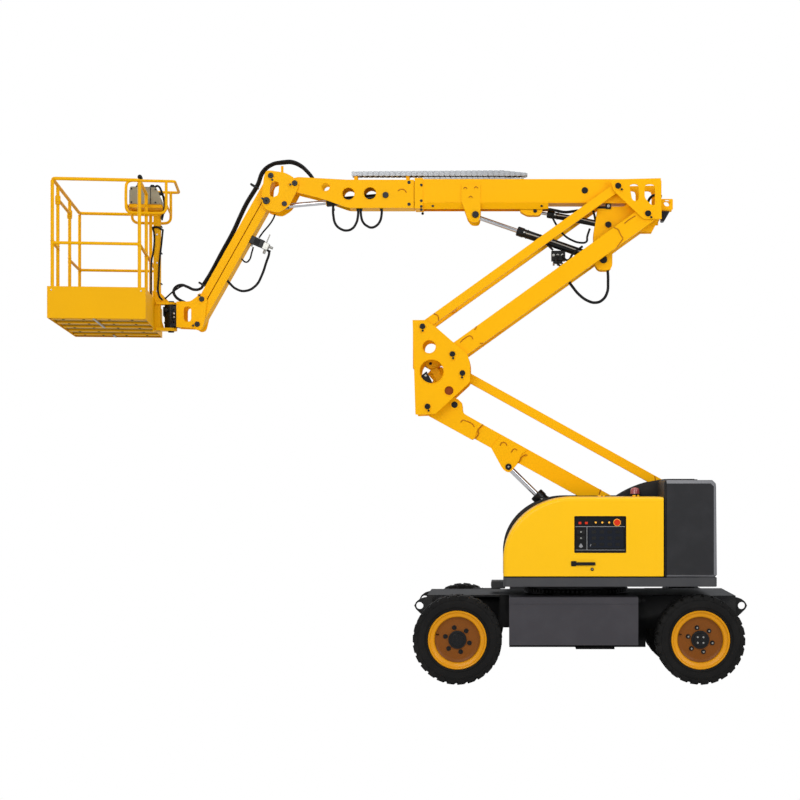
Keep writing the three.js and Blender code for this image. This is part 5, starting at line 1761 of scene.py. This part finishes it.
# ------------------------------------------------------------------ platform
@dataclass
class Platform:
    """The work platform with its gate bar and control station."""

    studio: Studio
    back: float = -189.0
    front: float = -866.0
    rear_edge: float = -145.0
    front_edge: float = -902.0
    wide: float = 916.0
    floor: float = 2956.0
    middle: float = 3520.0
    top: float = 4028.0
    tube: float = 14.0

    def build(self) -> None:
        """Makes the platform pieces."""
        self._base()
        self._rails()
        self._bar()
        self._station()

    def _sculpt(self, name: str, finish: Finish) -> Sculpt:
        """Starts a piece in the platform's own frame.

        Args:
            name: Its name.
            finish: Its first finish.

        Returns:
            The piece.
        """
        piece = Sculpt(self.studio, name, finish)
        piece.local = cage_frame()
        return piece

    def _base(self) -> None:
        """Makes the floor with its channels."""
        base = self._sculpt("platform base", CAGE)
        f, fe, re = self.floor, self.front_edge, self.rear_edge
        base.box((fe + 4, -926, f - 12), (re - 4, 926, f - 4), 2, GRATE)
        self._toe(base)
        for y in (-760, -380, 0, 380, 760):
            base.box((fe + 8, y - 32, f - 28), (re - 8, y + 32, f - 13), 3)
            base.bolts([(x, y, f - 30) for x in (-800, -640, -440, -260)], 8, 4, Axis.Z, DARK)
        for low, high in ((-905, -70), (700, 905)):
            base.box((-556, low, f - 38), (-538, high, f - 29), 2, ZINC)
        self._mast(base)
        base.done("platform", "platform_base")

    def _toe(self, base: Sculpt) -> None:
        """Adds the toe boards.

        Args:
            base: The platform base.
        """
        low, high = self.floor - 34, 3174
        fe, re = self.front_edge, self.rear_edge
        for y in (-933, 929):
            base.box((fe - 2, y, low), (re + 6, y + 4, high), 1.8)
        for x in (fe - 3, re + 2):
            base.box((x, -931, low), (x + 4, 931, high), 1.8)
        for x in (fe + 2, re - 14):
            base.box((x, -930, high - 4), (x + 12, 930, high), 1.5)
        for y in (-930, 918):
            base.box((fe + 2, y, high - 4), (re, y + 12, high), 1.5)
            base.box((fe + 2, y, low), (re, y + 12, low + 4), 1.5)
        for s in (-1, 1):
            for x in (fe + 30, re - 30):
                base.disc((x, s * 934, high - 30), 7, 3, Axis.Y, 1, ZINC, 6)

    def _mast(self, base: Sculpt) -> None:
        """Adds the mast, the swing arms and their cables.

        Args:
            base: The platform base.
        """
        re = self.rear_edge
        base.box((re - 1, -30, 2905), (re + 60, 30, 3898), 5)
        base.box((re - 6, -70, 2900), (re + 6, 70, 3240), 3)
        for z in (3240, 3480, 3720):
            base.disc((re + 30, -32, z), 8, 3, Axis.Y, 1, ZINC, 6)
        for low, high in ((2905, 2931), (3127, 3147)):
            arm = [(re + 20, -50), (-40, -46), (0, -52), (30, -42), (50, -14), (50, 14), (30, 42), (0, 52),
                   (-40, 46), (re + 20, 50)]
            base.prism(arm, low, high, 2, axis=Axis.Z)
            base.disc((0, 0, high if low > 3000 else low), 26, 12, Axis.Z, 3, DARK)
        base.prism([(-86, 2931), (-58, 2931), (-86, 3020)], -6, 6, 2)
        base.prism([(-86, 3147), (-10, 3147), (-86, 3228)], -20, 20, 2)
        base.box((re + 10, -12, 3890), (re + 70, 12, 3925), 4)
        base.tube([(-66, -36, 3764), (-72, -40, 3700), (-78, -40, 3640), (-92, -38, 3512), (-100, -36, 3367),
                   (-98, -34, 3200), (-70, -32, 3165)], 8, HOSE)
        base.tube([
            (-152, -36, 3776), (-140, -42, 3731), (-144, -42, 3585), (-160, -44, 3498),
            (-166, -60, 3200), (-190, -90, 2990),
        ], 8, HOSE)
        base.tube([(-158, -36, 3776), (-110, -46, 3780), (-68, -38, 3758)], 9, HOSE)
        for z in (3300, 3560, 3786):
            base.box((re + 56, -42, z), (re + 72, 42, z + 8), 2, DARK)

    def _rails(self) -> None:
        """Makes the guard rail."""
        rail = self._sculpt("guard rail", CAGE)
        w, t, b, fr, r = self.wide, self.top, self.back, self.front, self.tube
        ring = rounded([(b, -240, t), (b, -w, t), (fr, -w, t), (fr, w, t), (b, w, t), (b, 240, t)], 42)
        rail.tube(ring, r)
        m = self.middle
        for start, end in (
            ((fr, -w, m), (b, -w, m)), ((fr, w, m), (b, w, m)), ((b, -w, m), (b, w, m)),
            ((fr, -w, m), (fr, -580, m)), ((fr, 195, m), (fr, w, m)),
        ):
            rail.tube([start, end], r - 1.5)
        posts = [(x, y) for x in (fr, b) for y in (-w, w)]
        posts += [(fr, -580), (fr, 195), (b, -240), (b, 240)]
        for x, y in posts:
            low = self.floor
            rail.tube([(x, y, low), (x, y, t - (r if abs(y) > 900 else 0))], r)
            half = min(22, 928 - abs(y))
            rail.box((x - 22, y - half, low), (x + 22, y + half, low + 6), 2)
            rail.spin([(r, -3), (r + 3.5, 0), (r, 4)], (x, y, m - r - 2), Axis.Z, 20)
            rail.spin([(r, -3), (r + 3.5, 0), (r, 4)], (x, y, m + r + 2), Axis.Z, 20)
        for y in (-580, 195):
            rail.spin([(r, -10), (r + 7, -8), (r + 7, 8), (r, 10)], (fr, y, 3883), Axis.Z, 24)
        self._hoops(rail)
        rail.done("platform", "guard_rail")

    def _hoops(self, rail: Sculpt) -> None:
        """Adds the hoops round the control station.

        Args:
            rail: The guard rail.
        """
        r, x0, x1, nose = 12, -350, -22, 48
        low, high = 3862, 4130
        for y in (-290, 290):
            outline = [(x1, y, high), (x1, y, low), (x0, y, low), (x0, y, high), (x0 + 120, y, high)]
            rail.tube(rounded(outline, 60), r)
        crown = [(x0 + 110, -290, high), (nose, -290, high), (nose, 290, high), (x0 + 110, 290, high)]
        rail.tube(rounded(crown, 34), r)
        for x in (x0, x1):
            rail.tube([(x, -290, 3940), (x, 290, 3940)], r - 3)
        rail.box((x0 + 10, -166, 3949), (-62, 166, 3955), 2)
        rail.box((x0 + 10, -166, 3925), (x0 + 16, 166, 3955), 2)
        rail.box((-68, -166, 3925), (-62, 166, 3955), 2)
        for y in (-166, 160):
            rail.box((x0 + 10, y, 3925), (-62, y + 6, 3955), 2)
        for y in (-240, 240):
            rail.box((self.back - 12, y - 50, 3930), (self.back + 12, y + 50, 3948), 3)

    def _bar(self) -> None:
        """Makes the gate bar with its collars."""
        bar = self._sculpt("gate bar", CAGE)
        z, x = 3918, self.front
        bar.tube([(x, -560, z), (x, 175, z)], 13)
        for y in (-580, 195):
            bar.spin(
                [(self.tube + 1.2, -25), (self.tube + 8, -25), (self.tube + 8, 25), (self.tube + 1.2, 25)],
                (x, y, z), Axis.Z, 32, closed=True,
            )
        bar.done("gate_bar", "gate_bar")

    def _station(self) -> None:
        """Makes the control station."""
        case = self._sculpt("platform controls", CASE)
        case.prism([(-332, 3955), (-75, 3955), (-75, 4010), (-112, 4096), (-124, 4101), (-332, 4101)],
                   -150, 150, 8, segments=3)
        case.box((-337, -138, 3964), (-328, 138, 4078), 4, PANEL)
        case.box((-326, -140, 4099), (-132, 140, 4105), 3, PANEL)
        for s in (-1, 1):
            for x in (-248, -160):
                case.box((x - 3, s * 148, 3962), (x + 3, s * 152, 4096), 1, PANEL)
            case.bolts([(x, s * 152, z) for x in (-318, -120) for z in (3972, 4084)], 5, 4, Axis.Y, DARK)
        for y in (-96, -32):
            case.disc((-262, y, 4110), 27, 8, Axis.Z, 3, DARK)
            case.disc((-262, y, 4134), 21, 20, Axis.Z, 3, HOSE, top=8)
            case.disc((-258, y, 4164), 8, 22, Axis.Z, 3, DARK)
            case.dome((-254, y, 4194), 20, DARK)
        case.disc((-196, 96, 4112), 24, 9, Axis.Z, 3, DARK)
        case.disc((-196, 96, 4126), 22, 8, Axis.Z, 4, RED)
        case.disc((-150, -96, 4108), 24, 8, Axis.Z, 3, DARK)
        case.disc((-150, -96, 4121), 18, 8, Axis.Z, 5, DARK)
        for x in (-280, -250):
            for y in (20, 52, 84, 116):
                case.disc((x, y, 4109), 6, 6, Axis.Z, 1, ZINC, 16)
                case.disc((x, y, 4120), 3, 9, Axis.Z, 1, DARK, 12)
        case.disc((-92, -60, 4060), 15, 12, Axis.X, 2, DARK)
        case.tube([
            (-130, -90, 4112), (-104, -100, 4120), (-72, -96, 4070), (-56, -80, 4010),
            (-52, -60, 3950), (-66, -50, 3900), (-78, -40, 3850),
        ], 9, HOSE)
        case.tube([
            (-80, -60, 4060), (-54, -60, 4030), (-44, -50, 3970), (-60, -44, 3900), (-74, -36, 3840),
        ], 7, HOSE)
        case.done("platform", "control_box")


# ------------------------------------------------------------------ stage
@dataclass
class Stage:
    """White studio, soft lights and the camera."""

    studio: Studio
    eye: Point = (-511.0, -14875.0, 1640.0)
    lens: float = 78.75
    shift: Flat = (-0.144, 0.10)

    def build(self) -> None:
        """Makes the camera, lights, background and floor."""
        bpy.context.scene.view_settings.view_transform = "Standard"
        self._camera()
        self._backdrop()
        self._floor()
        for place, size, power in (
            ((-4200, -11500, 6800), 7.0, 430.0), ((6200, -9200, 5200), 6.0, 300.0),
            ((-7000, 1500, 5200), 4.0, 150.0), ((800, -600, 11000), 6.0, 260.0),
        ):
            self._lamp(place, size, power)

    def _camera(self) -> None:
        """Places the camera."""
        data = bpy.data.cameras.new("camera")
        data.lens = self.lens
        data.sensor_width = 36.0
        data.shift_x, data.shift_y = self.shift
        data.clip_end = 200.0
        camera = bpy.data.objects.new("camera", data)
        camera.location = self.studio.point(self.eye)
        camera.rotation_euler = (math.pi / 2, 0, 0)
        bpy.context.scene.collection.objects.link(camera)
        bpy.context.scene.camera = camera

    def _lamp(self, place: Point, size: float, power: float) -> None:
        """Adds a round soft light.

        Args:
            place: Its centre.
            size: Its width in metres.
            power: Its power in watts.
        """
        data = bpy.data.lights.new("softbox", "AREA")
        data.shape = "DISK"
        data.size = size
        data.energy = power
        lamp = bpy.data.objects.new("softbox", data)
        lamp.location = self.studio.point(place)
        aim = self.studio.point((-900, 0, 1900)) - lamp.location
        lamp.rotation_euler = aim.to_track_quat("-Z", "Y").to_euler()
        bpy.context.scene.collection.objects.link(lamp)

    def _camera_switch(self, graph: Graph, kind: str, look: dict, seen: str, output: str) -> None:
        """Shows plain white to the camera and a light or surface to all else.

        Args:
            graph: The graph.
            kind: Type of the node that the camera doesn't see.
            look: Its inputs.
            seen: Type of the node that the camera sees.
            output: Type of the output node.
        """
        hidden = graph.node(kind, sockets=look)
        clear = graph.node(seen, sockets={"Color": (1.0, 1.0, 1.0, 1.0), "Strength": 1.0})
        camera = graph.node("ShaderNodeLightPath", out="Is Camera Ray")
        mixed = graph.node("ShaderNodeMixShader", sockets={0: camera, 1: hidden, 2: clear})
        graph.node(output, sockets={"Surface": mixed})

    def _backdrop(self) -> None:
        """Makes a world that lights softly and looks white."""
        world = bpy.data.worlds.new("studio")
        world.use_nodes = True
        bpy.context.scene.world = world
        world.node_tree.nodes.clear()
        graph = Graph(world.node_tree)
        self._camera_switch(
            graph, "ShaderNodeBackground", {"Color": (0.86, 0.88, 0.92, 1.0), "Strength": 0.62},
            "ShaderNodeBackground", "ShaderNodeOutputWorld",
        )

    def _floor(self) -> None:
        """Makes a floor that reflects light and looks white."""
        material = bpy.data.materials.new("studio floor")
        material.use_nodes = True
        material.node_tree.nodes.clear()
        graph = Graph(material.node_tree)
        self._camera_switch(
            graph, "ShaderNodeBsdfDiffuse", {"Color": (0.78, 0.78, 0.78, 1.0)}, "ShaderNodeEmission",
            "ShaderNodeOutputMaterial",
        )
        mesh = bpy.data.meshes.new("floor")
        bm = bmesh.new()
        bmesh.ops.create_grid(bm, x_segments=1, y_segments=1, size=40.0)
        bm.to_mesh(mesh)
        bm.free()
        mesh.materials.append(material)
        floor = bpy.data.objects.new("floor", mesh)
        floor.location = (0, 0, -0.001)
        bpy.context.scene.collection.objects.link(floor)


def main() -> None:
    """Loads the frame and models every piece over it."""
    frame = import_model()
    studio = Studio(frame)
    builders: list = [Chassis(studio)]
    builders += [Wheel(studio, end, side) for end in ("front", "rear") for side in Side]
    builders += [Turntable(studio), Riser(studio), Boom(studio), Jib(studio), Platform(studio), Stage(studio)]
    for builder in builders:
        builder.build()
    bpy.context.view_layer.update()


if __name__ == "__main__":
    main()
